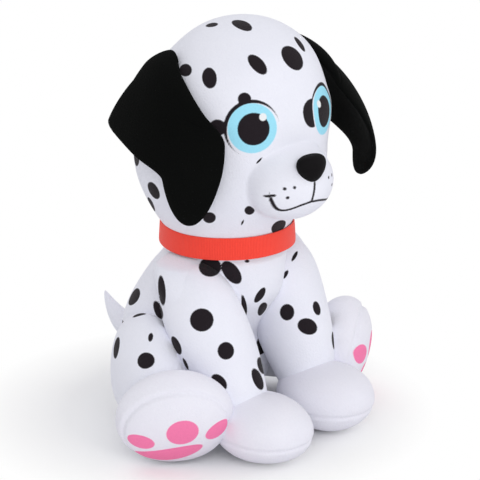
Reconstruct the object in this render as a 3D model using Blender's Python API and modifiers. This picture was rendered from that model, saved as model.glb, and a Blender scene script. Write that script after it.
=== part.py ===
"""Sitting plush puppy: sewn skins over filling, with flap ears, four limbs, a tail and a collar.

Units are metres and +Z is up. The puppy faces -Y, and its left side is +X.
The origin is the middle of the flat seat, on the surface that the puppy sits on.
"""

import math

import bmesh
import bpy
from mathutils import Matrix, Vector

# Cloth and clearances
SKIN = 0.0018  # sewn plush with its backing
GAP = 0.0003  # between pieces that touch
MOVE_GAP = 0.0008  # between the body and a limb that swings on it
SEAT_FLAT = 0.0005  # depth by which soft forms are pressed flat on the floor

# Body and neck
NECK_TOP = 0.1205  # height of the seam between body and head
NECK_RADIUS = 0.038
NECK_FOOT_RADIUS = 0.032  # where the neck runs into the chest
NECK_DEPTH = 0.034  # length of the neck, down into the body
NECK_FORWARD = 0.022  # neck axis in front of the seat's middle
BODY_BELOW_SEAM = 0.0035  # crown of the body below the neck seam
BODY_LOW_RADIUS = 0.058
BODY_HIGH_RADIUS = 0.045
BODY_LOW_DEPTH = 0.052  # half the body's depth, front to back
BODY_HIGH_DEPTH = 0.038
BODY_LEAN = 0.014  # how far the crown lies in front of the seat
BODY_BOW = 0.006  # how far the back rounds out behind that line
PELLET_DEPTH = 0.024  # height of the pellet bag in the seat

# Head, muzzle and nose, in the head's own frame
HEAD_RISE = 0.0635  # head's middle above the neck seam
HEAD_FORWARD = 0.005  # head's middle in front of the neck axis
HEAD_TURN = math.radians(-12)  # toward the puppy's right
HEAD_TILT = math.radians(-4)
HEAD_RADIUS = 0.0575  # that the ears lie on
HEAD_LOW_RADIUS = 0.061
HEAD_HIGH_RADIUS = 0.055
HEAD_CROWN = 0.0575  # top of the head above its middle
HEAD_CHIN = 0.080  # foot of the head's form below its middle, past the neck seam
CROWN_SHIFT = (0.0030, -0.0055)  # how far the crown leans aside and forward
CROWN_LEVELS = (0.010, 0.048)  # heights between which that grows
JAW_SHIFT = (-0.0020, 0.0030)  # how far the jaw is set aside and back, and the chin once more
JAW_SLIM = 0.0030  # how much slimmer the jaw is
JAW_LEVELS = (-0.020, 0.012)
CHIN_SLIM = 0.0050  # how much slimmer the chin is again
CHIN_LEVELS = (-0.060, -0.026)
MUZZLE_WIDTH = 0.052
MUZZLE_HEIGHT = 0.044
MUZZLE_LENGTH = 0.052
MUZZLE_OUT = 0.047  # muzzle's middle in front of the head's middle
MUZZLE_DROP = 0.026
NOSE_HEIGHT = 0.0152
NOSE_LOW_RADII = (0.0058, 0.0052)  # across, and front to back
NOSE_HIGH_RADII = (0.0113, 0.0070)
NOSE_ABOVE_MUZZLE = 0.0115  # nose's middle above the muzzle's middle
NOSE_OUT = 0.023  # nose's middle in front of the muzzle's middle

# Ears, as angles round the head's middle
EAR_THICKNESS = 0.006
EAR_LIFT_OFF = 0.0012  # clearance between ear and head
EAR_ELEVATION = math.radians(46)  # of the ear's seam
EAR_DROP = {"left": math.radians(79), "right": math.radians(84)}  # from the seam's level to the tip
EAR_SEAM_FRONT = math.radians(20)
EAR_SEAM_REAR = math.radians(6)
EAR_SEAM_FRONT_DROP = math.radians(12)  # the seam slants down toward the face
EAR_SEAM_REAR_DROP = {"left": math.radians(-3), "right": math.radians(-8)}
EAR_FRONT_SPREAD = {"left": math.radians(41), "right": math.radians(50)}
EAR_FRONT_AT = 0.42  # share of the drop where the front edge lies furthest forward
EAR_FRONT_ROUND = 2.4  # exponent of the front edge's way in to the tip
EAR_REAR_SPREAD = math.radians(26)
EAR_REAR_AT = {"left": 0.72, "right": 0.545}  # share of the drop where the rear edge has its corner
EAR_REAR_CUT = math.radians(215)  # slope at which the rear edge comes in below the corner
EAR_REAR_ROUND = math.radians(9)  # rounding of the rear edge
EAR_TIP_HALF = math.radians(6)
EAR_TIP_FORWARD = {"left": math.radians(13), "right": math.radians(25)}
EAR_FLARE = {"left": 0.027, "right": 0.015}  # how far the tip stands off the head
EAR_FLARE_FROM = {"left": 0.25, "right": 0.30}  # share of the drop where the ear leaves the head
EAR_REAR_FLARE = 0.005  # how far the rear corner stands off the head

# Front legs and paws
LEG_BELOW_SEAM = 0.0165  # top of the leg below the neck seam
LEG_LOW_RADIUS = 0.0195
LEG_HIGH_RADIUS = 0.0255
LEG_FOOT_HEIGHT = 0.014
LEG_REACH = {"left": 0.042, "right": 0.046}  # how far the ankle lies in front of the shoulder
ANKLE_OUT = {"left": 0.028, "right": 0.032}  # ankle beside the puppy's middle
PAW_WIDTH = 0.051
PAW_LENGTH = 0.060
PAW_HEIGHT = 0.0385
PAW_OUT = 0.0095  # paw's middle in front of the ankle
PAW_SOLE_HEIGHT = 0.0065
FRONT_LEG_SWING = math.radians(30)

# Hind legs and feet
THIGH_WIDTH = 0.042
THIGH_HEIGHT = 0.082
SHIN_WIDTH = 0.038
SHIN_HEIGHT = 0.050
THIGH_RISE = 0.047  # rear of the thigh above the floor
THIGH_SINK = 0.017  # rear of the thigh inside the body's widest radius
THIGH_BACK = 0.018  # rear of the thigh behind the seat's middle
FOOT_WIDTH = 0.066
FOOT_THICKNESS = 0.040
FOOT_TALL = 0.062
FOOT_OUT = 0.030  # foot's middle outside the rear of the thigh
FOOT_FORWARD = 0.065  # foot's middle in front of the rear of the thigh
FOOT_YAW = math.radians(40)
FOOT_TILT = math.radians(25)
FOOT_SOLE_SEAM = 0.004  # seam of the sole in front of the foot's middle
HIP_OUT = 0.005  # hip hinge outside the rear of the thigh
HIP_BACK = 0.003  # hip hinge behind the rear of the thigh
HIND_LEG_SPLAY = math.radians(25)

# Tail
TAIL_RISE = 0.033  # root of the tail above the floor
TAIL_LENGTH = 0.0225  # how far the tip stands behind the body's widest radius
TAIL_CLIMB = 0.0215  # how far the tip stands above the root
TAIL_ROOT_RADIUS = 0.0095
TAIL_TIP_RADIUS = 0.004
TAIL_SUNK = 0.016  # how deep the form starts inside the body
TAIL_BOW = 0.0048  # how far the tail sags back and down along its curve
TAIL_HINGE_RISE = 0.0133  # hinge above the root
TAIL_LIFT = math.radians(40)

# Collar
RIBBON_WIDTH = 0.0127
RIBBON_THICKNESS = 0.001
COLLAR_EASE = 0.0008  # between ribbon and neck
COLLAR_BELOW_SEAM = 0.0005

# Fineness of the forms
BIG_MESH = (20, 10)  # segments round, segments along
LIMB_MESH = (12, 8)
SMALL_MESH = (8, 6)
EAR_MESH = (8, 9)  # faces across, faces down
RING_SEGMENTS = 32
SWEEP_STEPS = 6  # copies of a form that stand for its way round a hinge
ROUND = 0.9  # exponent of a well filled form; 1 is an ellipsoid
SLEEVE = 0.55  # exponent of a straighter, sleeve-like form
THIGH_FULLNESS = 0.8
HELPER_SIZE = 0.4  # side of the boxes that cut along a plane

SIDES = {"left": 1.0, "right": -1.0}
NECK_AXIS = Vector((0, -NECK_FORWARD, NECK_TOP))
FRAMES = {}

for old in list(bpy.data.objects):
    bpy.data.objects.remove(old, do_unlink=True)

PUPPY = bpy.data.collections.new("plush_puppy")
CUTTERS = bpy.data.collections.new("cutters")
for collection in (PUPPY, CUTTERS):
    bpy.context.scene.collection.children.link(collection)


def cloth(name, colour, roughness):
    """Principled material of one finish."""
    material = bpy.data.materials.new(name)
    material.use_nodes = True
    shader = material.node_tree.nodes["Principled BSDF"]
    shader.inputs["Base Color"].default_value = (*colour, 1)
    shader.inputs["Roughness"].default_value = roughness
    shader.inputs["Metallic"].default_value = 0
    material.diffuse_color = (*colour, 1)
    return material


WHITE_PLUSH = cloth("white_plush", (0.86, 0.86, 0.88), 0.9)
BLACK_PLUSH = cloth("black_plush", (0.03, 0.028, 0.028), 0.9)
NOSE_CLOTH = cloth("nose_cloth", (0.02, 0.018, 0.018), 0.7)
RED_RIBBON = cloth("red_ribbon", (0.80, 0.07, 0.04), 0.6)
FILLING = cloth("filling", (0.90, 0.90, 0.88), 1.0)
PELLETS = cloth("pellets", (0.75, 0.76, 0.78), 0.5)


def pivot(name, world, parent=None):
    """Empty on a joint's axis, from which the pieces of one body hang."""
    empty = bpy.data.objects.new(name, None)
    empty.empty_display_size = NECK_RADIUS
    empty.parent = parent
    base = FRAMES[parent.name] if parent else Matrix()
    empty.matrix_basis = base.inverted() @ world
    FRAMES[name] = world
    PUPPY.objects.link(empty)
    return empty


def piece(name, bm, material, holder):
    """Object of one piece, its mesh taken from the world into its holder's frame."""
    bm.transform(FRAMES[holder.name].inverted())
    mesh = bpy.data.meshes.new(name)
    bm.to_mesh(mesh)
    bm.free()
    mesh.shade_smooth()
    mesh.materials.append(material)
    obj = bpy.data.objects.new(name, mesh)
    obj.parent = holder
    PUPPY.objects.link(obj)
    return obj


def hide(obj):
    """Keep a helper out of the model."""
    obj.hide_render = True
    obj.display_type = "WIRE"
    CUTTERS.objects.link(obj)
    return obj


def helper(name, bm):
    """Object of one helper form, in the world's frame."""
    mesh = bpy.data.meshes.new(name)
    bm.to_mesh(mesh)
    bm.free()
    return hide(bpy.data.objects.new(name, mesh))


def boolean(obj, other, operation="DIFFERENCE"):
    """Cut one object by another, or join them.

    Every form is closed, and the exact solver loses thin skins that are cut many times.
    """
    modifier = obj.modifiers.new(f"{operation.lower()}_{other.name}", "BOOLEAN")
    modifier.operation = operation
    modifier.object = other
    modifier.solver = "MANIFOLD"


def cut(obj, *others):
    """Cut an object by each of the helpers."""
    for other in others:
        boolean(obj, other)
    return obj


def joined(obj, other):
    """Join a helper to an object."""
    boolean(obj, other, "UNION")
    return obj


def settled(obj):
    """Keep the mesh that a helper's modifiers make, so that turned copies can share it."""
    bpy.context.view_layer.update()
    graph = bpy.context.evaluated_depsgraph_get()
    mesh = bpy.data.meshes.new_from_object(obj.evaluated_get(graph))
    obj.modifiers.clear()
    obj.data = mesh
    return obj


def swept(obj, name, point, axis, angle):
    """The helper and its copies turned back through a hinge's range, as seen from the hinged limb."""
    copies = [obj]
    for step in range(1, SWEEP_STEPS + 1):
        turn = Matrix.Rotation(-angle * step / SWEEP_STEPS, 4, axis)
        copy = bpy.data.objects.new(f"{name}_{step}", obj.data)
        copy.matrix_world = Matrix.Translation(point) @ turn @ Matrix.Translation(-point)
        copies.append(hide(copy))
    return copies


def half_space(name, point, normal):
    """Box that fills the space on the side of a plane that its normal points to."""
    bm = bmesh.new()
    bmesh.ops.create_cube(bm, size=HELPER_SIZE)
    bmesh.ops.translate(bm, vec=(0, 0, HELPER_SIZE / 2), verts=bm.verts)
    bm.transform(Matrix.Translation(point) @ normal.to_track_quat("Z", "Y").to_matrix().to_4x4())
    return helper(name, bm)


def stuffed(low, high, low_radii, high_radii, fullness, mesh, inset=0.0, side=(1, 0, 0), bow=(0, 0, 0)):
    """Stuffed form with round ends at the points low and high.

    A sphere's angle from pole to pole runs along the spine. The radii, across the side direction and square
    to it, go evenly from the low pair to the high pair, times the angle's sine to the power of the fullness.
    The spine bows out by a parabola, and the inset draws the whole form in.
    """
    axis = (high - low).normalized()
    depth = axis.cross(Vector(side)).normalized()
    across = depth.cross(axis)
    start = low + axis * inset
    spine = high - low - axis * 2 * inset
    bm = bmesh.new()
    bmesh.ops.create_uvsphere(bm, u_segments=mesh[0], v_segments=mesh[1], radius=1)
    for vert in bm.verts:
        along = (min(max(vert.co.z, -1), 1) + 1) / 2
        sine = 2 * math.sqrt(along * (1 - along))
        swell = sine**fullness / max(math.hypot(vert.co.x, vert.co.y), 1e-9) if sine > 1e-4 else 0
        wide = low_radii[0] + (high_radii[0] - low_radii[0]) * along - inset
        deep = low_radii[1] + (high_radii[1] - low_radii[1]) * along - inset
        spread = across * wide * vert.co.x + depth * deep * vert.co.y
        vert.co = start + spine * along + Vector(bow) * 4 * along * (1 - along) + spread * swell
    return bm


def body_form(inset):
    """Pear of the body, its seat at the origin and its level rings sheared forward toward the neck."""
    low = Vector((0, 0, -SEAT_FLAT))
    high = Vector((0, 0, NECK_TOP - BODY_BELOW_SEAM))
    radii = (BODY_LOW_RADIUS, BODY_LOW_DEPTH), (BODY_HIGH_RADIUS, BODY_HIGH_DEPTH)
    bm = stuffed(low, high, *radii, ROUND, BIG_MESH, inset, bow=(0, BODY_BOW, 0))
    for vert in bm.verts:
        vert.co.y -= BODY_LEAN * vert.co.z / high.z
    return bm


def neck_form(inset, above):
    """Neck that widens from the chest, its top a given height above the seam."""
    depth = NECK_DEPTH - inset + above
    low = NECK_FOOT_RADIUS - inset
    high = low + (NECK_RADIUS - NECK_FOOT_RADIUS) * depth / NECK_DEPTH
    bm = bmesh.new()
    bmesh.ops.create_cone(bm, cap_ends=True, segments=RING_SEGMENTS, radius1=low, radius2=high, depth=depth)
    bmesh.ops.translate(bm, vec=NECK_AXIS + Vector((0, 0, above - depth / 2)), verts=bm.verts)
    return bm


def collar_room():
    """Cylinder round the neck that a swinging leg leaves to the collar."""
    radius = NECK_RADIUS + COLLAR_EASE + RIBBON_THICKNESS + MOVE_GAP
    depth = RIBBON_WIDTH + MOVE_GAP
    bm = bmesh.new()
    bmesh.ops.create_cone(
        bm, cap_ends=True, segments=RING_SEGMENTS, radius1=radius, radius2=radius, depth=depth
    )
    drop = COLLAR_BELOW_SEAM + depth / 2
    bmesh.ops.translate(bm, vec=NECK_AXIS - Vector((0, 0, drop)), verts=bm.verts)
    return bm


HEAD_FRAME = (
    Matrix.Translation(NECK_AXIS + Vector((0, -HEAD_FORWARD, HEAD_RISE)))
    @ Matrix.Rotation(HEAD_TURN, 4, "Z")
    @ Matrix.Rotation(HEAD_TILT, 4, "Y")
)


def ramp(value, low, high):
    """Smooth step from 0 at the low value to 1 at the high one."""
    share = min(max((value - low) / (high - low), 0), 1)
    return share * share * (3 - 2 * share)


def head_form(inset):
    """Ball of the head, its crown leaning forward, slimmer and set back at the jaw and the chin."""
    low = Vector((0, 0, -HEAD_CHIN))
    high = Vector((0, 0, HEAD_CROWN))
    radii = (HEAD_LOW_RADIUS, HEAD_LOW_RADIUS), (HEAD_HIGH_RADIUS, HEAD_HIGH_RADIUS)
    bm = stuffed(low, high, *radii, ROUND, BIG_MESH, inset)
    for vert in bm.verts:
        crown = ramp(vert.co.z, *CROWN_LEVELS)
        jaw = 1 - ramp(vert.co.z, *JAW_LEVELS)
        chin = 1 - ramp(vert.co.z, *CHIN_LEVELS)
        slim = 1 - (JAW_SLIM * jaw + CHIN_SLIM * chin) / HEAD_LOW_RADIUS
        vert.co.x = vert.co.x * slim + CROWN_SHIFT[0] * crown + JAW_SHIFT[0] * (jaw + chin)
        vert.co.y = vert.co.y * slim + CROWN_SHIFT[1] * crown + JAW_SHIFT[1] * (jaw + chin)
    bm.transform(HEAD_FRAME)
    return bm


def muzzle_form(inset):
    """Egg of the muzzle, lying along the face."""
    middle = Vector((0, -MUZZLE_OUT, -MUZZLE_DROP))
    half = Vector((0, MUZZLE_LENGTH / 2, 0))
    radii = (MUZZLE_WIDTH / 2, MUZZLE_HEIGHT / 2)
    bm = stuffed(middle + half, middle - half, radii, radii, 1, LIMB_MESH, inset)
    bm.transform(HEAD_FRAME)
    return bm


def nose_form():
    """Padded nose, wide above and narrow below."""
    middle = Vector((0, -MUZZLE_OUT - NOSE_OUT, NOSE_ABOVE_MUZZLE - MUZZLE_DROP))
    half = Vector((0, 0, NOSE_HEIGHT / 2))
    bm = stuffed(middle - half, middle + half, NOSE_LOW_RADII, NOSE_HIGH_RADII, ROUND, SMALL_MESH)
    bm.transform(HEAD_FRAME)
    return bm


EAR_ROOT_RADIUS = HEAD_RADIUS + EAR_LIFT_OFF + EAR_THICKNESS / 2


def ear_directions(side):
    """Outward and downward directions at the middle of an ear's seam, in the head's frame."""
    sign = SIDES[side]
    out = Vector((sign * math.cos(EAR_ELEVATION), 0, math.sin(EAR_ELEVATION)))
    down = Vector((sign * math.sin(EAR_ELEVATION), 0, -math.cos(EAR_ELEVATION)))
    return out, down


def larger(first, second, blend):
    """Larger of two values, rounded where they meet."""
    share = min(max(0.5 + 0.5 * (first - second) / blend, 0), 1)
    return second + (first - second) * share + blend * share * (1 - share)


def ear_front(side, along):
    """Angle of an ear's front edge, which swings out by a sine and comes in by a power to the tip."""
    rise = math.sin(math.pi / 2 * min(along / EAR_FRONT_AT, 1))
    fall = max((along - EAR_FRONT_AT) / (1 - EAR_FRONT_AT), 0) ** EAR_FRONT_ROUND
    spread, tip = EAR_FRONT_SPREAD[side], -EAR_TIP_FORWARD[side] - EAR_TIP_HALF
    return -EAR_SEAM_FRONT + (EAR_SEAM_FRONT - spread) * rise + (tip + spread) * fall


def ear_rear(side, along):
    """Angle of an ear's rear edge: a line out to its corner, a steeper one back and the tip's, rounded."""
    out = EAR_SEAM_REAR + (EAR_REAR_SPREAD - EAR_SEAM_REAR) * along / EAR_REAR_AT[side]
    back = EAR_REAR_SPREAD - EAR_REAR_CUT * (along - EAR_REAR_AT[side])
    back = larger(back, EAR_TIP_HALF - EAR_TIP_FORWARD[side], EAR_REAR_ROUND)
    return -larger(-out, -back, EAR_REAR_ROUND)


def ear_form(side):
    """Sheet of a flap ear, which leaves the head below its seam.

    Rows go down from the slanted seam by an angle, and across they run from the front edge to the rear.
    The sheet's distance from the head's middle grows toward the tip and the rear corner.
    """
    out, down = ear_directions(side)
    bm = bmesh.new()
    bmesh.ops.create_grid(bm, x_segments=EAR_MESH[0], y_segments=EAR_MESH[1], size=1)
    for vert in bm.verts:
        along, share = (1 - vert.co.y) / 2, (vert.co.x + 1) / 2
        seam = EAR_SEAM_FRONT_DROP + (EAR_SEAM_REAR_DROP[side] - EAR_SEAM_FRONT_DROP) * share
        drop = seam + (EAR_DROP[side] - seam) * along
        lean = ear_front(side, along) * (1 - share) + ear_rear(side, along) * share
        flare = EAR_FLARE[side] * max(along - EAR_FLARE_FROM[side], 0) / (1 - EAR_FLARE_FROM[side])
        corner = EAR_REAR_FLARE * math.sin(math.pi * along) * (max(lean, 0) / EAR_REAR_SPREAD) ** 2
        level = math.cos(drop) * out + math.sin(drop) * down
        ray = math.cos(lean) * level + math.sin(lean) * Vector((0, 1, 0))
        vert.co = ray * (EAR_ROOT_RADIUS + flare + corner)
    bm.transform(HEAD_FRAME)
    return bm


def shoulder(side):
    """Point at the top of a front leg, on its hinge."""
    return NECK_AXIS + Vector((SIDES[side] * NECK_RADIUS, 0, -LEG_BELOW_SEAM))


def ankle(side):
    """Point at the foot of a front leg, inside the paw."""
    return Vector((SIDES[side] * ANKLE_OUT[side], -NECK_FORWARD - LEG_REACH[side], LEG_FOOT_HEIGHT))


def leg_form(side, inset):
    """Sleeve of a front leg, fuller at the shoulder."""
    radii = (LEG_LOW_RADIUS, LEG_LOW_RADIUS), (LEG_HIGH_RADIUS, LEG_HIGH_RADIUS)
    return stuffed(ankle(side), shoulder(side), *radii, SLEEVE, LIMB_MESH, inset)


def paw_form(side, inset):
    """Egg of a front paw, lying on the floor."""
    middle = ankle(side) - Vector((0, PAW_OUT, 0))
    middle.z = PAW_HEIGHT / 2 - SEAT_FLAT
    half = Vector((0, PAW_LENGTH / 2, 0))
    radii = (PAW_WIDTH / 2, PAW_HEIGHT / 2)
    return stuffed(middle + half, middle - half, radii, radii, ROUND, LIMB_MESH, inset)


def thigh_rear(side):
    """Rear end of a thigh, inside the body."""
    return Vector((SIDES[side] * (BODY_LOW_RADIUS - THIGH_SINK), THIGH_BACK, THIGH_RISE))


def foot_frame(side):
    """Frame of a hind foot: its sole looks along -Y, and it just presses on the floor."""
    turn = Matrix.Rotation(SIDES[side] * FOOT_YAW, 4, "Z") @ Matrix.Rotation(FOOT_TILT, 4, "X")
    middle = thigh_rear(side) + Vector((SIDES[side] * FOOT_OUT, -FOOT_FORWARD, 0))
    reach = math.hypot(FOOT_TALL / 2 * math.cos(FOOT_TILT), FOOT_THICKNESS / 2 * math.sin(FOOT_TILT))
    middle.z = reach - SEAT_FLAT
    return Matrix.Translation(middle) @ turn


def foot_form(side, inset):
    """Thick oval of a hind foot, standing on its edge."""
    half = Vector((0, 0, FOOT_TALL / 2))
    radii = (FOOT_WIDTH / 2, FOOT_THICKNESS / 2)
    bm = stuffed(-half, half, radii, radii, 1, LIMB_MESH, inset)
    bm.transform(foot_frame(side))
    return bm


def thigh_form(side, inset):
    """Thigh that tapers from the hip down into the foot."""
    low = thigh_rear(side)
    high = foot_frame(side).translation
    radii = (THIGH_WIDTH / 2, THIGH_HEIGHT / 2), (SHIN_WIDTH / 2, SHIN_HEIGHT / 2)
    across = Vector((0, 0, 1)).cross(high - low)
    return stuffed(low, high, *radii, THIGH_FULLNESS, LIMB_MESH, inset, side=across)


def hip(side):
    """Point on a hind leg's upright hinge, at the rear of the thigh."""
    return thigh_rear(side) + Vector((SIDES[side] * HIP_OUT, HIP_BACK, 0))


TAIL_ROOT = Vector((0, BODY_LOW_RADIUS - TAIL_SUNK, TAIL_RISE))
TAIL_HINGE = Vector((0, BODY_LOW_RADIUS - TAIL_SUNK / 2, TAIL_RISE + TAIL_HINGE_RISE))


def tail_form(inset):
    """Pointed tail that curves up."""
    tip = Vector((0, BODY_LOW_RADIUS + TAIL_LENGTH, TAIL_RISE + TAIL_CLIMB))
    low_radii = (TAIL_ROOT_RADIUS, TAIL_ROOT_RADIUS)
    high_radii = (TAIL_TIP_RADIUS, TAIL_TIP_RADIUS)
    bow = (0, TAIL_BOW, -TAIL_BOW)
    return stuffed(TAIL_ROOT, tip, low_radii, high_radii, SLEEVE, SMALL_MESH, inset, bow=bow)


ROOT = pivot("seat", Matrix())
NECK = pivot("neck", Matrix.Translation(NECK_AXIS), ROOT)
HEAD = pivot("head", HEAD_FRAME, NECK)
TAIL = pivot("tail", Matrix.Translation(TAIL_HINGE), ROOT)

FLOOR = half_space("floor", Vector(), Vector((0, 0, -1)))
BODY_CUT = helper("body_cut", body_form(-MOVE_GAP))
joined(BODY_CUT, helper("neck_cut", neck_form(-MOVE_GAP, 0)))
settled(joined(BODY_CUT, helper("collar_cut", collar_room())))


def make_body():
    """Body skin, its filling and the pellet bag in the seat."""
    lining = joined(helper("body_lining", body_form(SKIN)), helper("neck_lining", neck_form(SKIN, SKIN)))
    skin = joined(piece("body_skin", body_form(0), WHITE_PLUSH, ROOT), helper("neck_skin", neck_form(0, 0)))
    cut(skin, lining, FLOOR)
    level = Vector((0, 0, PELLET_DEPTH))
    filling = piece("body_filling", body_form(SKIN + GAP), FILLING, ROOT)
    joined(filling, helper("neck_filling", neck_form(SKIN + GAP, -GAP)))
    cut(filling, half_space("below_filling", level + Vector((0, 0, GAP)), Vector((0, 0, -1))))
    bag = piece("pellet_bag", body_form(SKIN + GAP), PELLETS, ROOT)
    cut(bag, half_space("above_pellets", level, Vector((0, 0, 1))))


def make_head():
    """Head and muzzle skins, their filling, the nose and the ears."""
    below = half_space("below_head", NECK_AXIS + Vector((0, 0, GAP)), Vector((0, 0, -1)))
    muzzle_lining = helper("muzzle_lining", muzzle_form(SKIN))
    skin = piece("head_skin", head_form(0), WHITE_PLUSH, HEAD)
    cut(skin, helper("head_lining", head_form(SKIN)), muzzle_lining, below)
    muzzle = piece("muzzle_skin", muzzle_form(0), WHITE_PLUSH, HEAD)
    cut(muzzle, muzzle_lining, helper("head_cut", head_form(-GAP)))
    filling = piece("head_filling", head_form(SKIN + GAP), FILLING, HEAD)
    joined(filling, helper("muzzle_filling", muzzle_form(SKIN + GAP)))
    cut(filling, below)
    nose = piece("nose_pad", nose_form(), NOSE_CLOTH, HEAD)
    cut(nose, helper("muzzle_cut", muzzle_form(-GAP)))
    for side in SIDES:
        out, _ = ear_directions(side)
        hinge = HEAD_FRAME @ Matrix.Translation(out * EAR_ROOT_RADIUS)
        ear = piece(f"ear_{side}", ear_form(side), BLACK_PLUSH, pivot(f"ear_{side}_hinge", hinge, HEAD))
        wall = ear.modifiers.new("two_layers", "SOLIDIFY")
        wall.thickness = EAR_THICKNESS
        wall.offset = 0
        wall.use_even_offset = True


def make_front_leg(side):
    """Leg sleeve, paw and sole of one side, and the filling that runs through them."""
    name = f"front_leg_{side}"
    point = shoulder(side)
    holder = pivot(f"{name}_shoulder", Matrix.Translation(point), ROOT)
    body = swept(BODY_CUT, f"{name}_body", point, Vector((-1, 0, 0)), FRONT_LEG_SWING)
    leg_lining = helper(f"{name}_lining", leg_form(side, SKIN))
    paw_lining = helper(f"front_paw_{side}_lining", paw_form(side, SKIN))
    paw_cut = helper(f"front_paw_{side}_cut", paw_form(side, -GAP))
    level = Vector((0, 0, PAW_SOLE_HEIGHT))
    below = half_space(f"front_paw_{side}_below", level, Vector((0, 0, -1)))
    above = half_space(f"front_paw_{side}_above", level - Vector((0, 0, GAP)), Vector((0, 0, 1)))
    cut(piece(f"{name}_skin", leg_form(side, 0), WHITE_PLUSH, holder), leg_lining, paw_cut, *body)
    paw = piece(f"front_paw_{side}_skin", paw_form(side, 0), WHITE_PLUSH, holder)
    cut(paw, paw_lining, leg_lining, below)
    sole = piece(f"front_paw_{side}_sole", paw_form(side, 0), WHITE_PLUSH, holder)
    cut(sole, paw_lining, above, FLOOR)
    filling = piece(f"{name}_filling", leg_form(side, SKIN + GAP), FILLING, holder)
    joined(filling, helper(f"front_paw_{side}_filling", paw_form(side, SKIN + GAP)))
    cut(filling, *body)


def make_hind_leg(side):
    """Thigh, foot and sole of one side, and the filling that runs through them."""
    name = f"hind_leg_{side}"
    point = hip(side)
    holder = pivot(f"{name}_hip", Matrix.Translation(point), ROOT)
    axis = Vector((0, 0, SIDES[side]))
    body = swept(BODY_CUT, f"{name}_body", point, axis, HIND_LEG_SPLAY)
    front_leg = shoulder(side), Vector((1, 0, 0)), FRONT_LEG_SWING
    paw = swept(helper(f"{name}_paw_cut", paw_form(side, -MOVE_GAP)), f"{name}_paw", *front_leg)
    leg = swept(helper(f"{name}_leg_cut", leg_form(side, -MOVE_GAP)), f"{name}_leg", *front_leg)
    thigh_lining = helper(f"{name}_lining", thigh_form(side, SKIN))
    foot_lining = helper(f"hind_foot_{side}_lining", foot_form(side, SKIN))
    foot_cut = helper(f"hind_foot_{side}_cut", foot_form(side, -GAP))
    frame = foot_frame(side)
    ahead = (frame.to_3x3() @ Vector((0, -1, 0))).normalized()
    seam = frame.translation + ahead * FOOT_SOLE_SEAM
    before = half_space(f"hind_foot_{side}_before", seam, ahead)
    behind = half_space(f"hind_foot_{side}_behind", seam + ahead * GAP, -ahead)
    thigh = piece(f"{name}_skin", thigh_form(side, 0), WHITE_PLUSH, holder)
    cut(thigh, thigh_lining, foot_cut, *leg, *body)
    foot = piece(f"hind_foot_{side}_skin", foot_form(side, 0), WHITE_PLUSH, holder)
    cut(foot, foot_lining, thigh_lining, before, *paw, *leg, FLOOR)
    sole = piece(f"hind_foot_{side}_sole", foot_form(side, 0), WHITE_PLUSH, holder)
    cut(sole, foot_lining, behind, *paw, *leg, FLOOR)
    filling = piece(f"{name}_filling", thigh_form(side, SKIN + GAP), FILLING, holder)
    joined(filling, helper(f"hind_foot_{side}_filling", foot_form(side, SKIN + GAP)))
    cut(filling, *paw, *leg, *body)


def make_tail():
    """Tail skin and its filling."""
    body = swept(BODY_CUT, "tail_body", TAIL_HINGE, Vector((1, 0, 0)), TAIL_LIFT)
    cut(piece("tail_skin", tail_form(0), WHITE_PLUSH, TAIL), helper("tail_lining", tail_form(SKIN)), *body)
    cut(piece("tail_filling", tail_form(SKIN + GAP), FILLING, TAIL), *body)


def make_collar():
    """Ribbon round the neck, just under the seam."""
    radius = NECK_RADIUS + COLLAR_EASE
    bm = bmesh.new()
    bmesh.ops.create_cone(
        bm, cap_ends=False, segments=RING_SEGMENTS, radius1=radius, radius2=radius, depth=RIBBON_WIDTH
    )
    drop = COLLAR_BELOW_SEAM + RIBBON_WIDTH / 2
    bmesh.ops.translate(bm, vec=NECK_AXIS - Vector((0, 0, drop)), verts=bm.verts)
    ribbon = piece("collar_ribbon", bm, RED_RIBBON, pivot("collar", Matrix.Translation(NECK_AXIS), ROOT))
    band = ribbon.modifiers.new("ribbon", "SOLIDIFY")
    band.thickness = RIBBON_THICKNESS
    band.offset = 1


make_body()
make_head()
for each_side in SIDES:
    make_front_leg(each_side)
    make_hind_leg(each_side)
make_tail()
make_collar()
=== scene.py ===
"""Looks of a sitting plush puppy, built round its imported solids.

Units are metres and +Z is up. The puppy faces -Y, and its left side is +X.
What is printed on the cloth is a signed distance on each mesh, below zero inside a spot.
"""

import logging
import math
from dataclasses import dataclass, field
from enum import Enum
from math import radians
from typing import Generic, NamedTuple, TypeVar

import bpy
import numpy as np
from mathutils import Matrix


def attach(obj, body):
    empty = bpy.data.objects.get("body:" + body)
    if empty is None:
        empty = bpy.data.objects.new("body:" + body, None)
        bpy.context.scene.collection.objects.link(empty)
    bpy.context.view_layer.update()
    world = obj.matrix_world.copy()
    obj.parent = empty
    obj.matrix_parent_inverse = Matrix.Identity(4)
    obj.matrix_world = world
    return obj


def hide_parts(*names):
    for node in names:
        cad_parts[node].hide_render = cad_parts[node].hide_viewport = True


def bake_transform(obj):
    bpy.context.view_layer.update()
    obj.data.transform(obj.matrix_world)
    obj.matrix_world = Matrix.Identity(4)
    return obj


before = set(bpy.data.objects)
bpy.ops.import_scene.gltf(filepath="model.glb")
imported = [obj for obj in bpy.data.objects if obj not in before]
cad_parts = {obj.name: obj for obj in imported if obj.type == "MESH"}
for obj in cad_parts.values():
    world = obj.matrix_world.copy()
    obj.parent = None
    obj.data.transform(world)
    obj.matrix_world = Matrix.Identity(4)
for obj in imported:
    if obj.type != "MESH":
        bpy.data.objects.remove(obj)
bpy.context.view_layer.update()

Array = np.ndarray
Pair = tuple[float, float]
Triple = tuple[float, float, float]
Grid = tuple[int, int]
Bare = list[tuple[Array, float]]
Inputs = dict[str | int, object]
Kind = TypeVar("Kind")
LOG = logging.getLogger("puppy")

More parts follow.
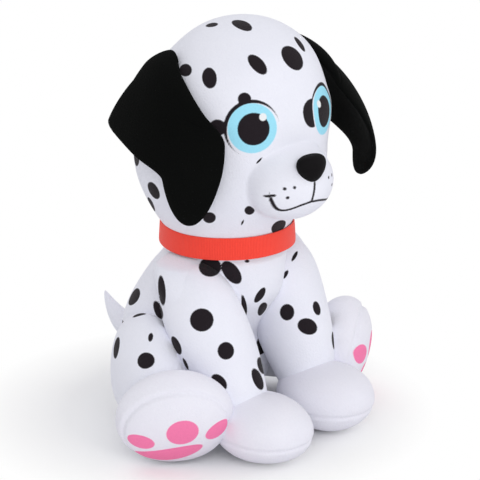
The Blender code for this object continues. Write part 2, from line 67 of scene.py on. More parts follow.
NECK_AXIS = np.array([0.0, -0.022, 0.1205])
ROUND_FIELD = "around"  # metres round the ribbon
FAR = 1.0  # a distance that no print reaches
TINY = 1e-4  # step for slopes, and what decides between tangents of a level surface
MARK_FACING = 0.08  # least share by which a spot's middle faces the camera
MARK_NUDGE = 0.002  # furthest that a spot's middle moves off its grid point
SPOT_LIFT = 0.006  # how far off its plane a spot still prints, past its radius


class Side(Enum):
    """Left and right of the puppy, with the sign of their X."""

    LEFT = 1.0
    RIGHT = -1.0

    @property
    def word(self) -> str:
        """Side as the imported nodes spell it."""
        return self.name.lower()


class Both(NamedTuple, Generic[Kind]):
    """A value for each side of the puppy."""

    left: Kind
    right: Kind

    def of(self, side: Side) -> Kind:
        """Value for one side."""
        return self.left if side is Side.LEFT else self.right


class Slot(Enum):
    """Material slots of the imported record."""

    WHITE = "white_plush"
    BLACK = "black_plush"
    NOSE = "nose_cloth"
    RIBBON = "red_ribbon"


class Layer(Enum):
    """Prints on the cloth, in the order in which they lie over each other."""

    INK = "ink"
    IRIS = "iris"
    PUPIL = "pupil"
    GLINT = "glint"
    PAD = "pad"


def turned(axis: str, angle: float) -> Array:
    """Rotation matrix about one axis.

    Args:
        axis: X, Y or Z.
        angle: Turn by the right-hand rule, in radians.

    Returns:
        The 3 by 3 matrix.
    """
    first, second = {"X": (1, 2), "Y": (2, 0), "Z": (0, 1)}[axis]
    matrix = np.eye(3)
    matrix[first, first] = matrix[second, second] = math.cos(angle)
    matrix[first, second] = -math.sin(angle)
    matrix[second, first] = math.sin(angle)
    return matrix


def unit(vectors: Array) -> Array:
    """Vectors of length one."""
    return vectors / np.maximum(np.linalg.norm(vectors, axis=-1, keepdims=True), 1e-12)


def ramp(values: Array, low: float, high: float) -> Array:
    """Smooth step from 0 at the low value to 1 at the high one."""
    share = np.clip((values - low) / (high - low), 0, 1)
    return share * share * (3 - 2 * share)


def soft_max(first: Array, second: Array, blend: Array | float) -> Array:
    """Larger of two lengths, rounded where they meet.

    Args:
        first: One length.
        second: The other.
        blend: Difference below which the two run into each other.

    Returns:
        The rounded maximum: a mix of both plus a hump that is highest where they are equal.
    """
    share = np.clip(0.5 + 0.5 * (first - second) / blend, 0, 1)
    return second + (first - second) * share + blend * share * (1 - share)


def lumps(points: Array, height: float, length: float) -> Array:
    """Uneven filling: a sum of three slanted sine waves over the points.

    Args:
        points: Where it is asked for.
        height: Greatest swell.
        length: Length of a wave.

    Returns:
        The swell at each point.
    """
    slants = np.array([[1.0, 0.6, 0.3], [-0.5, 0.9, 0.7], [0.4, -0.7, 1.1]])
    starts = np.array([0.3, 1.7, 2.9])
    waves = slants * 2 * math.pi / length
    return height * np.sin(points @ waves.T + starts).mean(-1)


def groove(distance: Array, depth: float, width: float) -> Array:
    """Dip of a drawn-in seam, a bell curve of the distance from it."""
    return depth * np.exp(-((distance / width) ** 2))


def turns(count: int) -> Array:
    """Even angles of a full turn, without its end."""
    return np.linspace(0, 2 * math.pi, count, endpoint=False)


def signed_power(values: Array, power: float) -> Array:
    """Power of the amount, with the sign kept."""
    return np.sign(values) * np.abs(values) ** power


@dataclass(frozen=True)
class PhotoView:
    """Camera that stands where the photograph was taken from."""

    azimuth: float = radians(-48)
    elevation: float = radians(18)
    distance: float = 1.150
    focal_pixels: float = 2000.0
    frame_pixels: float = 480.0
    sensor_mm: float = 36.0
    target: Triple = (0.003, -0.029, 0.1104)
    clip: Pair = (0.01, 20.0)

    def axes(self) -> tuple[Array, Array, Array]:
        """Directions to the right, up and back toward the camera.

        Returns:
            Three directions of length one.
        """
        level = math.cos(self.elevation)
        back = np.array(
            [math.sin(self.azimuth) * level, -math.cos(self.azimuth) * level, math.sin(self.elevation)]
        )
        right = np.array([math.cos(self.azimuth), math.sin(self.azimuth), 0.0])
        return right, np.cross(back, right), back

    def place(self) -> Array:
        """Point where the camera stands."""
        return np.array(self.target) + self.axes()[2] * self.distance

    def project(self, points: Array) -> tuple[Array, Array]:
        """Where points show in the photograph.

        Args:
            points: Points in the part's frame.

        Returns:
            Pixels from the frame's upper left corner, and depths from the camera.
        """
        right, climb, back = self.axes()
        away = points - self.place()
        depth = -away @ back
        middle = self.frame_pixels / 2
        across = middle + self.focal_pixels * (away @ right) / depth
        down = middle - self.focal_pixels * (away @ climb) / depth
        return np.stack([across, down], -1), depth

    def camera(self) -> bpy.types.Object:
        """Scene camera of this view.

        Returns:
            The linked camera, which the scene looks through.
        """
        data = bpy.data.cameras.new("photo_camera")
        data.sensor_width = self.sensor_mm
        data.lens = self.focal_pixels / self.frame_pixels * self.sensor_mm
        data.clip_start, data.clip_end = self.clip
        camera = bpy.data.objects.new("photo_camera", data)
        camera.location = self.place()
        camera.rotation_euler = (math.pi / 2 - self.elevation, 0, self.azimuth)
        bpy.context.scene.collection.objects.link(camera)
        bpy.context.scene.camera = camera
        return camera


VIEW = PhotoView()


@dataclass
class Surface:
    """Closed skin on a grid of points, whose columns go round.

    Its rows run from one pole to the other, or close as the columns do where it is a ring.
    """

    points: Array
    ring: bool = False
    fields: dict[str, Array] = field(default_factory=dict)

    def area_vectors(self) -> Array:
        """Cross products of the steps round and along the grid, turned outwards.

        Returns:
            Vectors on the grid, as long as the area that a point stands for.
        """
        around = (np.roll(self.points, -1, 1) - np.roll(self.points, 1, 1)) / 2
        if self.ring:
            along = (np.roll(self.points, -1, 0) - np.roll(self.points, 1, 0)) / 2
        else:
            along = np.gradient(self.points, axis=0)
        areas = np.cross(around, along)
        middle = self.points.mean((0, 1))
        return areas * math.copysign(1, ((self.points - middle) * areas).sum())

    def normals(self) -> Array:
        """Outward directions of length one, a pole's taken from the row beside it.

        Returns:
            Directions on the grid.
        """
        found = unit(self.area_vectors())
        if not self.ring:
            found[0] = unit(found[1].mean(0))
            found[-1] = unit(found[-2].mean(0))
        return found

    def swell(self, amount: Array) -> None:
        """Move each point along its normal."""
        self.points = self.points + self.normals() * amount[..., None]

    def settle(self, floor: float) -> None:
        """Press everything below a height flat."""
        self.points[..., 2] = np.maximum(self.points[..., 2], floor)

    def flat(self, values: Array) -> Array:
        """Values of the grid in the order of the mesh's vertices, one for each pole.

        Args:
            values: Values on the grid.

        Returns:
            Values in one row, from pole to pole unless the skin is a ring.
        """
        if self.ring:
            return values.reshape(-1, *values.shape[2:])
        inner = values[1:-1].reshape(-1, *values.shape[2:])
        return np.concatenate([values[:1, 0], inner, values[-1:, 0]])

    def faces(self) -> list[list[int]]:
        """Vertex numbers of the quads, and of the triangles round the poles.

        Returns:
            Faces that look outwards.
        """
        rows, columns = self.points.shape[:2]
        if self.ring:
            index = np.arange(rows * columns).reshape(rows, columns)
            index = np.concatenate([index, index[:1]])
        else:
            index = np.arange((rows - 2) * columns).reshape(rows - 2, columns) + 1
        after = np.roll(index, -1, 1)
        quads = np.stack([index[:-1], after[:-1], after[1:], index[1:]], -1).reshape(-1, 4)
        fans = np.zeros((0, 3), int)
        if not self.ring:
            last = np.full(columns, index.max() + 1)
            first_fan = np.stack([np.zeros(columns, int), after[0], index[0]], -1)
            fans = np.concatenate([first_fan, np.stack([last, index[-1], after[-1]], -1)])
        around = np.roll(self.points, -1, 1) - self.points
        along = np.roll(self.points, -1, 0) - self.points
        if (np.cross(around, along) * self.area_vectors())[1:-1].sum() < 0:
            quads, fans = quads[:, ::-1], fans[:, ::-1]
        return quads.tolist() + fans.tolist()

    def to_object(self, name: str) -> bpy.types.Object:
        """Object with this skin's mesh and its fields as attributes.

        Args:
            name: Name of the piece.

        Returns:
            The linked object, at the origin.
        """
        mesh = bpy.data.meshes.new(name)
        mesh.from_pydata(self.flat(self.points).tolist(), [], self.faces())
        mesh.shade_smooth()
        for title, values in self.fields.items():
            attribute = mesh.attributes.new(title, "FLOAT", "POINT")
            attribute.data.foreach_set("value", self.flat(values).astype(np.float32).ravel())
        obj = bpy.data.objects.new(name, mesh)
        bpy.context.scene.collection.objects.link(obj)
        return obj


def stuffed(
    low: Array,
    high: Array,
    low_radii: Pair,
    high_radii: Pair,
    fullness: Pair,
    grid: Grid,
    side: Triple = (1, 0, 0),
    bow: Triple = (0, 0, 0),
) -> Surface:
    """Stuffed form with round ends at two points.

    A sphere's angle from pole to pole runs along the spine. The radii, across the side direction and
    square to it, go evenly from the low pair to the high pair, times the angle's sine to the power of the
    fullness. The spine bows out by a parabola.

    Args:
        low: First pole.
        high: Second pole.
        low_radii: Radii at the first pole.
        high_radii: Radii at the second pole.
        fullness: Exponents at the first and the second pole.
        grid: Rows and columns.
        side: Direction of the first radius.
        bow: How far the spine's middle stands off the straight line.

    Returns:
        The skin.
    """
    axis = unit(high - low)
    depth = unit(np.cross(axis, np.array(side, float)))
    across = np.cross(depth, axis)
    polar = np.linspace(0, math.pi, grid[0])[:, None, None]
    turn = turns(grid[1])[None, :, None]
    along = (1 - np.cos(polar)) / 2
    swell = np.sin(polar).clip(0) ** (fullness[0] + (fullness[1] - fullness[0]) * along)
    wide = low_radii[0] + (high_radii[0] - low_radii[0]) * along
    deep = low_radii[1] + (high_radii[1] - low_radii[1]) * along
    spread = (across * np.cos(turn) * wide + depth * np.sin(turn) * deep) * swell
    spine = low + (high - low) * along + np.array(bow, float) * 4 * along * (1 - along)
    return Surface(spine + spread)


def ellipse_distance(skin: Surface, middle: Array, axes: Array, form: Array) -> Array:
    """Signed distance from an ellipse that lies on a skin.

    The offset from the middle is laid flat into the tangent plane. The root of its quadratic form, less
    one, times the ellipse's mean radius is the distance, and points well off that plane count as far.

    Args:
        skin: The cloth.
        middle: The ellipse's middle.
        axes: Two tangents and the normal there, as rows.
        form: The 2 by 2 quadratic form, one on the ellipse.

    Returns:
        Distances on the skin's grid.
    """
    away = skin.points - middle
    flat = away @ axes[:2].T
    size = np.linalg.det(form) ** -0.25
    reach = (np.sqrt(np.einsum("...i,ij,...j", flat, form, flat)) - 1) * size
    lift = np.abs(away @ axes[2]) - size - SPOT_LIFT
    return np.maximum(reach, lift)


def tangents(normal: Array) -> Array:
    """Level and climbing tangent of a surface, and its normal, as rows."""
    across = unit(np.cross(np.array([0.0, 0.0, 1.0]) + TINY * normal[[1, 2, 0]], normal))
    return np.stack([across, np.cross(normal, across), normal])


@dataclass(frozen=True)
class Mark:
    """Printed spot that the photograph shows.

    It is given by the pixel of its middle, its size in pixels and its tilt in degrees.
    """

    name: str
    pixel: Pair
    size: Pair
    tilt: float = 0.0
    longest: float = 0.017  # largest radius on the cloth, in metres
    cast: bool = False  # thrown onto the cloth as a picture is

    def on(self, skin: Surface, view: PhotoView) -> Array:
        """Signed distance from the spot on a skin.

        The grid point that shows nearest to the pixel carries the spot. A small step along each tangent
        there says how the cloth is foreshortened, which turns the ellipse of the picture into one on the
        cloth. A cast spot is instead the ellipse of the picture thrown onto whatever it meets.

        Args:
            skin: The cloth.
            view: Camera of the photograph.

        Returns:
            Distances on the skin's grid.
        """
        normals = skin.normals()
        pixels, depth = view.project(skin.points)
        facing = (unit(view.place() - skin.points) * normals).sum(-1)
        turn = turned("Z", radians(self.tilt))[:2, :2]
        ellipse = turn @ np.diag((np.array(self.size) / 2) ** -2.0) @ turn.T
        if self.cast:
            away = pixels - np.array(self.pixel)
            reach = np.sqrt(np.einsum("...i,ij,...j", away, ellipse, away)) - 1
            length = math.sqrt(self.size[0] * self.size[1]) / 2 * depth / view.focal_pixels
            return np.where(facing > 0, reach * length, FAR)
        gap = np.linalg.norm(pixels - np.array(self.pixel), axis=-1)
        gap = np.where(facing > MARK_FACING, gap, np.inf)
        if gap.min() > max(self.size):
            return np.full(depth.shape, FAR)
        nearest = np.where(gap < gap.min() + 1, depth, np.inf).argmin()
        row, column = np.unravel_index(nearest, depth.shape)
        middle, axes = skin.points[row, column], tangents(normals[row, column])
        shown = (view.project(middle + axes[:2] * TINY)[0] - pixels[row, column]).T / TINY
        miss = np.linalg.solve(shown, np.array(self.pixel) - pixels[row, column])
        middle = middle + miss.clip(-MARK_NUDGE, MARK_NUDGE) @ axes[:2]
        values, vectors = np.linalg.eigh(shown.T @ ellipse @ shown)
        form = vectors @ np.diag(np.maximum(values, self.longest**-2.0)) @ vectors.T
        return ellipse_distance(skin, middle, axes, form)


@dataclass(frozen=True)
class Scatter:
    """Spots on the sides that the photograph hides, at even turns of a spiral round the piece."""

    count: int
    radius: float
    apart: float
    start: float = 0.0
    facing: float = -0.22  # cloth that faces the camera more than this stays clear
    stretch: float = 0.25
    stretch_turns: float = 5.0

    def on(self, skin: Surface, view: PhotoView, taken: Array, bare: Bare) -> Array:
        """Signed distance from the spots.

        Directions follow a golden spiral over a sphere, and each takes the grid point furthest that way.
        A spot is left out where it would lie too near another one, or where the camera might see it.

        Args:
            skin: The cloth.
            view: Camera of the photograph, which sees none of these spots.
            taken: Distances from the spots that are there already.
            bare: Points and radii that stay clear.

        Returns:
            Distances on the skin's grid.
        """
        normals = skin.normals()
        facing = (unit(view.place() - skin.points) * normals).sum(-1)
        offsets = skin.points - skin.points.mean((0, 1))
        golden = math.pi * (3 - math.sqrt(5))
        found = taken
        for number in range(self.count):
            height = 1 - (2 * number + 1) / self.count
            turn = self.start + number * golden
            level = math.sqrt(1 - height * height)
            way = np.array([level * math.cos(turn), level * math.sin(turn), height])
            row, column = np.unravel_index((unit(offsets) @ way).argmax(), facing.shape)
            middle = skin.points[row, column]
            clear = all(np.linalg.norm(middle - point) > radius for point, radius in bare)
            if facing[row, column] > self.facing or found[row, column] < self.apart or not clear:
                continue
            stretch = 1 + self.stretch * math.sin(self.stretch_turns * turn)
            form = np.diag([(self.radius * stretch) ** -2.0, (self.radius / stretch) ** -2.0])
            spot = ellipse_distance(skin, middle, tangents(normals[row, column]), form)
            found = np.minimum(found, spot)
        return found


def printed(skin: Surface, marks: tuple[Mark, ...], scatter: Scatter, bare: Bare) -> None:
    """Give a skin its ink field: the nearest of all its spots.

    Args:
        skin: The cloth, whose fields gain the ink.
        marks: Spots that the photograph shows.
        scatter: Spots on the hidden sides.
        bare: Points and radii that the hidden spots leave clear.
    """
    ink = np.full(skin.points.shape[:2], FAR)
    for mark in marks:
        ink = np.minimum(ink, mark.on(skin, VIEW))
    skin.fields[Layer.INK.value] = scatter.on(skin, VIEW, ink, bare)


class NodeSheet:
    """Shader nodes of a material or of the world."""

    def __init__(self, owner: bpy.types.Material | bpy.types.World) -> None:
        """Start from the nodes that the owner comes with.

        Args:
            owner: Material or world whose nodes these are.
        """
        owner.use_nodes = True
        self.owner = owner
        self.tree = owner.node_tree

    @property
    def shader(self) -> bpy.types.Node:
        """Principled shader of a material."""
        return self.tree.nodes["Principled BSDF"]

    def add(self, kind: str, inputs: Inputs | None = None, **settings: object) -> bpy.types.Node:
        """Add a node.

        Args:
            kind: Node type without its prefix.
            inputs: Values or sockets, by the input's name or number.
            **settings: Properties of the node.

        Returns:
            The node.
        """
        node = self.tree.nodes.new(f"ShaderNode{kind}")
        for key, value in settings.items():
            setattr(node, key, value)
        self.fill(node, inputs or {})
        return node

    def fill(self, node: bpy.types.Node, inputs: Inputs) -> None:
        """Set or link several inputs of a node."""
        for key, value in inputs.items():
            self.put(node.inputs[key], value)

    def put(self, socket: bpy.types.NodeSocket, value: object) -> None:
        """Link a socket to another, or set its value.

        Args:
            socket: Input of a node.
            value: Output of another node, or a plain value.
        """
        if isinstance(value, bpy.types.NodeSocket):
            self.tree.links.new(value, socket)
        else:
            socket.default_value = value

    def math(self, operation: str, first: object, second: object = 0.0) -> bpy.types.NodeSocket:
        """Result of a sum, product or other operation on two values."""
        return self.add("Math", {0: first, 1: second}, operation=operation).outputs[0]

    def mean(self, first: object, second: object) -> bpy.types.NodeSocket:
        """Mean of two values."""
        return self.math("MULTIPLY", self.math("ADD", first, second), 0.5)

    def noise(self, place: bpy.types.NodeSocket, scale: float, detail: float = 2.0) -> bpy.types.NodeSocket:
        """Noise around one half, with so many cells to the metre."""
        return self.add("TexNoise", {"Vector": place, "Scale": scale, "Detail": detail}).outputs[0]

    def mix(self, share: object, first: object, second: object) -> bpy.types.NodeSocket:
        """Mix of two colours."""
        return self.add("Mix", {0: share, 6: first, 7: second}, data_type="RGBA").outputs[2]

    def seen(self) -> bpy.types.NodeSocket:
        """One where the camera looks, also by way of gloss or glass, and zero for light.

        Returns:
            The larger of the three marks that a ray carries.
        """
        path = self.add("LightPath").outputs
        found = self.math("MAXIMUM", path["Is Camera Ray"], path["Is Glossy Ray"])
        return self.math("MAXIMUM", found, path["Is Transmission Ray"])


@dataclass(frozen=True)
class Print:
    """One colour on the cloth, inside the zero line of a field."""

    layer: Layer
    colour: Triple


@dataclass(frozen=True)
class PlushFinish:
    """Short pile cloth with uneven pale and deep fibres, a nap, and prints with fuzzy edges."""

    name: str
    colour: Triple
    shade: Triple
    prints: tuple[Print, ...] = ()
    roughness: float = 0.92
    sheen: float = 0.06
    sheen_spread: float = 0.45
    gloss: float = 0.15
    nap: float = 0.0005
    strength: float = 0.5
    fuzz: float = 0.0007
    edge: float = 0.00025
    print_shade: float = 0.9
    tufts: float = 900.0
    tuft_detail: float = 3.0
    fibres: float = 2600.0
    fibre_height: float = 0.5
    drift: float = 45.0

    def material(self) -> bpy.types.Material:
        """Procedural material of this cloth.

        Noises of tufts and of a slow drift mix the deep colour with the pale one. Each print covers them
        inside the zero line of its field, which the noise of fibres makes fuzzy. Tufts and fibres are the
        height of the nap.

        Returns:
            The new material.
        """
        sheet = NodeSheet(bpy.data.materials.new(self.name))
        place = sheet.add("TexCoord").outputs["Object"]
        tufts = sheet.noise(place, self.tufts, self.tuft_detail)
        fibres = sheet.noise(place, self.fibres)
        share = sheet.mean(tufts, sheet.noise(place, self.drift))
        colour = sheet.mix(share, (*self.shade, 1), (*self.colour, 1))
        stray = sheet.math("MULTIPLY", sheet.math("SUBTRACT", fibres, 0.5), self.fuzz)
        for one in self.prints:
            reach = sheet.add("Attribute", attribute_name=one.layer.value).outputs["Fac"]
            limits = {"From Min": self.edge, "From Max": -self.edge}
            inside = sheet.add("MapRange", {"Value": sheet.math("ADD", reach, stray), **limits}).outputs[0]
            shade = tuple(self.print_shade * value for value in one.colour)
            colour = sheet.mix(inside, colour, sheet.mix(tufts, (*shade, 1), (*one.colour, 1)))
        height = sheet.math("ADD", tufts, sheet.math("MULTIPLY", fibres, self.fibre_height))
        bump = sheet.add("Bump", {"Strength": self.strength, "Distance": self.nap, "Height": height})
        settings = {
            "Base Color": colour,
            "Normal": bump.outputs[0],
            "Roughness": self.roughness,
            "Specular IOR Level": self.gloss,
            "Sheen Weight": self.sheen,
            "Sheen Roughness": self.sheen_spread,
        }
        sheet.fill(sheet.shader, settings)
        return sheet.owner


@dataclass(frozen=True)
class RibbonFinish:
    """Ribbed ribbon: fine ribs across its width, along a field that counts metres round it, with painted
    shade in their grooves.
    """

    name: str
    colour: Triple
    # deeper red of painted shade, laid where the ribs dip
    groove: Triple
    pitch: float = 0.0009
    depth: float = 0.00025
    strength: float = 0.6
    grain: float = 700.0
    grain_detail: float = 3.0
    grain_height: float = 0.4
    roughness: float = 0.6
    gloss: float = 0.3
    sheen: float = 0.1

    def material(self) -> bpy.types.Material:
        """Procedural material of the ribbon.

        A sine of the way round makes the ribs, and noise makes them uneven, in colour and in height. The
        groove colour is painted shade where the ribs dip, mixed with uneven tone from the noise.

        Returns:
            The new material.
        """
        sheet = NodeSheet(bpy.data.materials.new(self.name))
        around = sheet.add("Attribute", attribute_name=ROUND_FIELD).outputs["Fac"]
        wave = sheet.math("SINE", sheet.math("MULTIPLY", around, 2 * math.pi / self.pitch))
        rib = sheet.math("ADD", sheet.math("MULTIPLY", wave, 0.5), 0.5)
        uneven = sheet.noise(sheet.add("TexCoord").outputs["Object"], self.grain, self.grain_detail)
        # painted shade: the lower the rib, the more of the groove colour; the noise adds uneven tone
        share = sheet.mean(rib, uneven)
        height = sheet.math("ADD", rib, sheet.math("MULTIPLY", uneven, self.grain_height))
        bump = sheet.add("Bump", {"Strength": self.strength, "Distance": self.depth, "Height": height})
        settings = {
            "Base Color": sheet.mix(share, (*self.groove, 1), (*self.colour, 1)),
            "Normal": bump.outputs[0],
            "Roughness": self.roughness,
            "Specular IOR Level": self.gloss,
            "Sheen Weight": self.sheen,
        }
        sheet.fill(sheet.shader, settings)
        return sheet.owner


WHITE, DEEP_WHITE = (0.86, 0.867, 0.94), (0.78, 0.787, 0.88)
INK = Print(Layer.INK, (0.015, 0.0108, 0.0142))
EYE_PRINTS = (
    Print(Layer.IRIS, (0.36, 0.78, 0.96)),
    Print(Layer.PUPIL, INK.colour),
    Print(Layer.GLINT, (0.86, 0.88, 0.90)),
)
PAD = Print(Layer.PAD, (0.96, 0.225, 0.445))
SPOTTED = PlushFinish("spotted_plush", WHITE, DEEP_WHITE, (INK,))
FACE = PlushFinish("face_plush", WHITE, DEEP_WHITE, (INK, *EYE_PRINTS))
PAW = PlushFinish("paw_plush", (0.86, 0.855, 0.925), (0.77, 0.765, 0.855), (PAD,))
EAR = PlushFinish("ear_plush", (0.0044, 0.0048, 0.0045), (0.0018, 0.0020, 0.0019), sheen=0.004, gloss=0.03)
NOSE = PlushFinish(
    "nose_satin",
    (0.0075, 0.0065, 0.0075),
    (0.004, 0.0035, 0.004),
    roughness=0.7,
    sheen=0.01,
    gloss=0.06,
    nap=0.0002,
)
# the second colour is painted shade for the grooves between the ribs
RIBBON = RibbonFinish("collar_ribbon_weave", (1.0, 0.066, 0.036), (0.86, 0.040, 0.023))


class Wardrobe:
    """Materials of all finishes, each made once."""

    def __init__(self) -> None:
        """Start with no material."""
        self.made: dict[str, bpy.types.Material] = {}

    def dress(
        self,
        skin: Surface,
        name: str,
        finish: PlushFinish | RibbonFinish,
        nodes: tuple[str, ...],
    ) -> bpy.types.Object:
        """Make a piece of a skin, in its finish, in the place of its solids.

        Args:
            skin: The finished skin.
            name: Name of the piece.
            finish: What it is made of.
            nodes: Solids that it stands for.

        Returns:
            The piece, which rides on nothing yet.
        """
        if finish.name not in self.made:
            self.made[finish.name] = finish.material()
        obj = skin.to_object(name)
        obj.data.materials.append(self.made[finish.name])
        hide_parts(*nodes)
        LOG.info("%s: %d faces for %s", name, len(obj.data.polygons), ", ".join(nodes))
        return obj


SHARED_MARKS = (
    Mark("chest_round", (210.0, 267.0), (22.5, 19.5), cast=True),
    Mark("chest_leaf", (231.6, 272.5), (27.0, 15.0), 52.0, cast=True),
    Mark("flank_long", (161.9, 290.2), (7.4, 30.5), -5.0, cast=True),
    Mark("flank_low", (158.2, 310.0), (8.0, 19.5), -20.0, cast=True),
)


def ellipse_reach(turn: Array, middle: tuple[Array, Array], radii: tuple[Array, Array]) -> Array:
    """Far side of an ellipse along level directions.

    The point at a distance along a direction lies on the ellipse where a quadratic equation holds, and its
    larger root is the far side.

    Args:
        turn: Angles of the directions.
        middle: The ellipse's middle, seen from where the directions start.
        radii: The ellipse's radii across and front to back, zero where there is none.

    Returns:
        Distances, zero where a direction misses the ellipse.
    """
    wide, deep = (np.maximum(radius, 1e-9) for radius in radii)
    first = (np.cos(turn) / wide) ** 2 + (np.sin(turn) / deep) ** 2
    second = middle[0] * np.cos(turn) / wide**2 + middle[1] * np.sin(turn) / deep**2
    inside = second**2 - first * ((middle[0] / wide) ** 2 + (middle[1] / deep) ** 2 - 1)
    return np.where(inside > 0, (second + np.sqrt(inside.clip(0))) / first, 0).clip(0)


@dataclass(frozen=True)
class Torso:
    """Pear of the body with the neck and the shoulders that grow out of it."""

    low_radii: Pair = (0.058, 0.052)
    high_radii: Pair = (0.041, 0.034)
    crown: float = 0.117
    lean: float = 0.014
    bow: float = 0.006
    fullness: float = 0.9
    neck_radius: float = 0.037
    neck_foot: float = 0.032
    neck_depth: float = 0.034
    neck_fade: float = 0.050
    shoulder_radius: float = 0.0195
    shoulder_height: float = 0.090
    shoulder_above: float = 0.0225
    shoulder_below: float = 0.045
    join: float = 0.008
    join_levels: Pair = (0.01, 0.05)
    recess: float = 0.22
    recess_levels: Pair = (0.05, 0.085)
    recess_front: Pair = (0.72, 0.95)  # shares of looking forward between which it sets in
    collar_levels: Pair = (0.1045, 0.1105)
    lump: Pair = (0.0006, 0.05)  # height and length of the filling's waves
    lump_starts: Pair = (0.004, 0.02)
    lump_ends: Pair = (0.1, 0.11)
    cap_rows: int = 12
    grid: Grid = (190, 260)
    seat_bare: float = 0.04
    shoulder_bare: float = 0.034
    scatter: Scatter = Scatter(count=46, radius=0.0065, apart=0.007)
    marks: tuple[Mark, ...] = SHARED_MARKS + (
        Mark("under_collar", (247.0, 261.0), (5.0, 3.0)),
        Mark("back", (133.6, 296.7), (9.0, 19.0), 28.0),
        Mark("tail_base", (116.0, 321.0), (5.0, 12.0), -25.0),
        Mark("between_high", (260.2, 295.4), (7.5, 18.0), 32.0),
        Mark("between_low", (262.6, 309.4), (8.0, 14.5), 28.0),
        Mark("breast", (244.4, 307.0), (5.2, 22.0), -8.0),
        Mark("belly", (263.0, 343.0), (14.0, 26.0), 15.0),
    )

    def shoulder_reach(self, side: Side, turn: Array, height: Array, middle_y: Array) -> Array:
        """Far side of the circle where one front leg grows out of the torso.

        The circle follows the leg's axis. Its radius is greatest at one height, and goes to nothing as an
        ellipse does above it and below it.

        Args:
            side: Which leg.
            turn: Angles of the level directions.
            height: Heights of the rings.
            middle_y: Where the rings' directions start, from front to back.

        Returns:
            Distances, zero where a direction misses the circle.
        """
        leg = FrontLeg(side)
        top, foot = leg.shoulder(), leg.ankle()
        share = (height - foot[2]) / (top[2] - foot[2])
        along = foot + (top - foot) * share[..., None]
        span = np.where(height > self.shoulder_height, self.shoulder_above, self.shoulder_below)
        radius = np.clip(1 - ((height - self.shoulder_height) / span) ** 2, 0, 1) ** 0.5
        radius = radius * self.shoulder_radius
        return ellipse_reach(turn, (along[..., 0], along[..., 1] - middle_y), (radius, radius))

    def skin(self) -> Surface:
        """Level rings: the rounded union of the body's oval, the neck's circle and the shoulders'.

        All are measured along level directions from a middle that moves from the body's axis to the neck's.
        Low down between the legs, the belly is drawn in, and under the collar only the neck is left.

        Returns:
            The skin, flat on the floor and closed above the neck.
        """
        rise = (1 - np.cos(np.linspace(0, math.pi, self.grid[0] - self.cap_rows))) / 2
        height = np.concatenate([rise * NECK_AXIS[2], np.full(self.cap_rows, NECK_AXIS[2])])[:, None]
        cap = np.concatenate([np.ones(len(rise)), np.linspace(1, 0, self.cap_rows)])[:, None]
        turn = turns(self.grid[1])[None]
        share = np.clip(height / self.crown, 0, 1)
        body_y = -self.lean * share + self.bow * 4 * share * (1 - share)
        round_off = (2 * np.sqrt(share * (1 - share))) ** self.fullness
        wide, deep = (
            (low + (high - low) * share) * round_off for low, high in zip(self.low_radii, self.high_radii)
        )
        foot = NECK_AXIS[2] - self.neck_depth
        climb = (height - foot) / self.neck_depth
        neck_r = self.neck_foot + (self.neck_radius - self.neck_foot) * climb
        neck_r = neck_r * np.clip(1 - ((foot - height).clip(0) / self.neck_fade) ** 2, 0, 1) ** 0.5
        middle_y = body_y + (NECK_AXIS[1] - body_y) * ramp(height, foot, self.crown)
        blend = self.join * ramp(height, *self.join_levels) + 1e-5
        body = ellipse_reach(turn, (0 * height, body_y - middle_y), (wide, deep))
        neck = ellipse_reach(turn, (0 * height, NECK_AXIS[1] - middle_y), (neck_r, neck_r))
        radius = soft_max(body, neck, blend)
        for side in Side:
            radius = soft_max(radius, self.shoulder_reach(side, turn, height, middle_y), blend)
        low = 1 - ramp(height, *self.recess_levels)
        radius = radius * (1 - self.recess * ramp(-np.sin(turn), *self.recess_front) * low)
        collar = ramp(height, *self.collar_levels)
        radius = (radius + (np.minimum(radius, neck_r) - radius) * collar) * cap
        radius[0] = radius[-1] = 0
        across = radius * np.cos(turn)
        back = middle_y + radius * np.sin(turn)
        skin = Surface(np.stack([across, back, np.broadcast_to(height, across.shape)], -1))
        up = skin.points[..., 2]
        share = ramp(up, *self.lump_starts) * (1 - ramp(up, *self.lump_ends))
        skin.swell(lumps(skin.points, *self.lump) * share)
        return skin

    def build(self, wardrobe: Wardrobe) -> None:
        """Make and print the torso.

        Args:
            wardrobe: Materials that dress the pieces.
        """
        skin = self.skin()
        bare = [(np.zeros(3), self.seat_bare), (FrontLeg(Side.LEFT).shoulder(), self.shoulder_bare)]
        printed(skin, self.marks, self.scatter, bare)
        nodes = ("body_skin", "body_filling", "pellet_bag")
        torso = wardrobe.dress(skin, "torso_plush", SPOTTED, nodes)
        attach(torso, "torso")


@dataclass(frozen=True)
class EyePrint:
    """Printed eye. Its circles are given from its middle: toward the nose, up, and their radius."""

    middle: Both[Triple] = Both((0.0303, -0.0478, 0.0068), (-0.0235, -0.0514, 0.0090))
    iris: float = 0.0135
    pupil: Triple = (0.0005, -0.0004, 0.0088)
    glint: Triple = (0.0062, 0.0055, 0.0021)
    lid_outer: Triple = (-0.0002, 0.0001, 0.0154)
    lid_inner: Triple = (0.00075, -0.00125, 0.0147)
    bumps: Both[tuple[Triple, ...]] = Both(
        ((0.0139, 0.0026, 0.0079),),
        ((-0.0027, 0.0160, 0.0036), (-0.0185, 0.0023, 0.0044)),
    )
    rim: float = 0.0008  # gap between the iris and the spots that touch the lid
    depth: float = 0.015  # how far off its plane the eye still prints


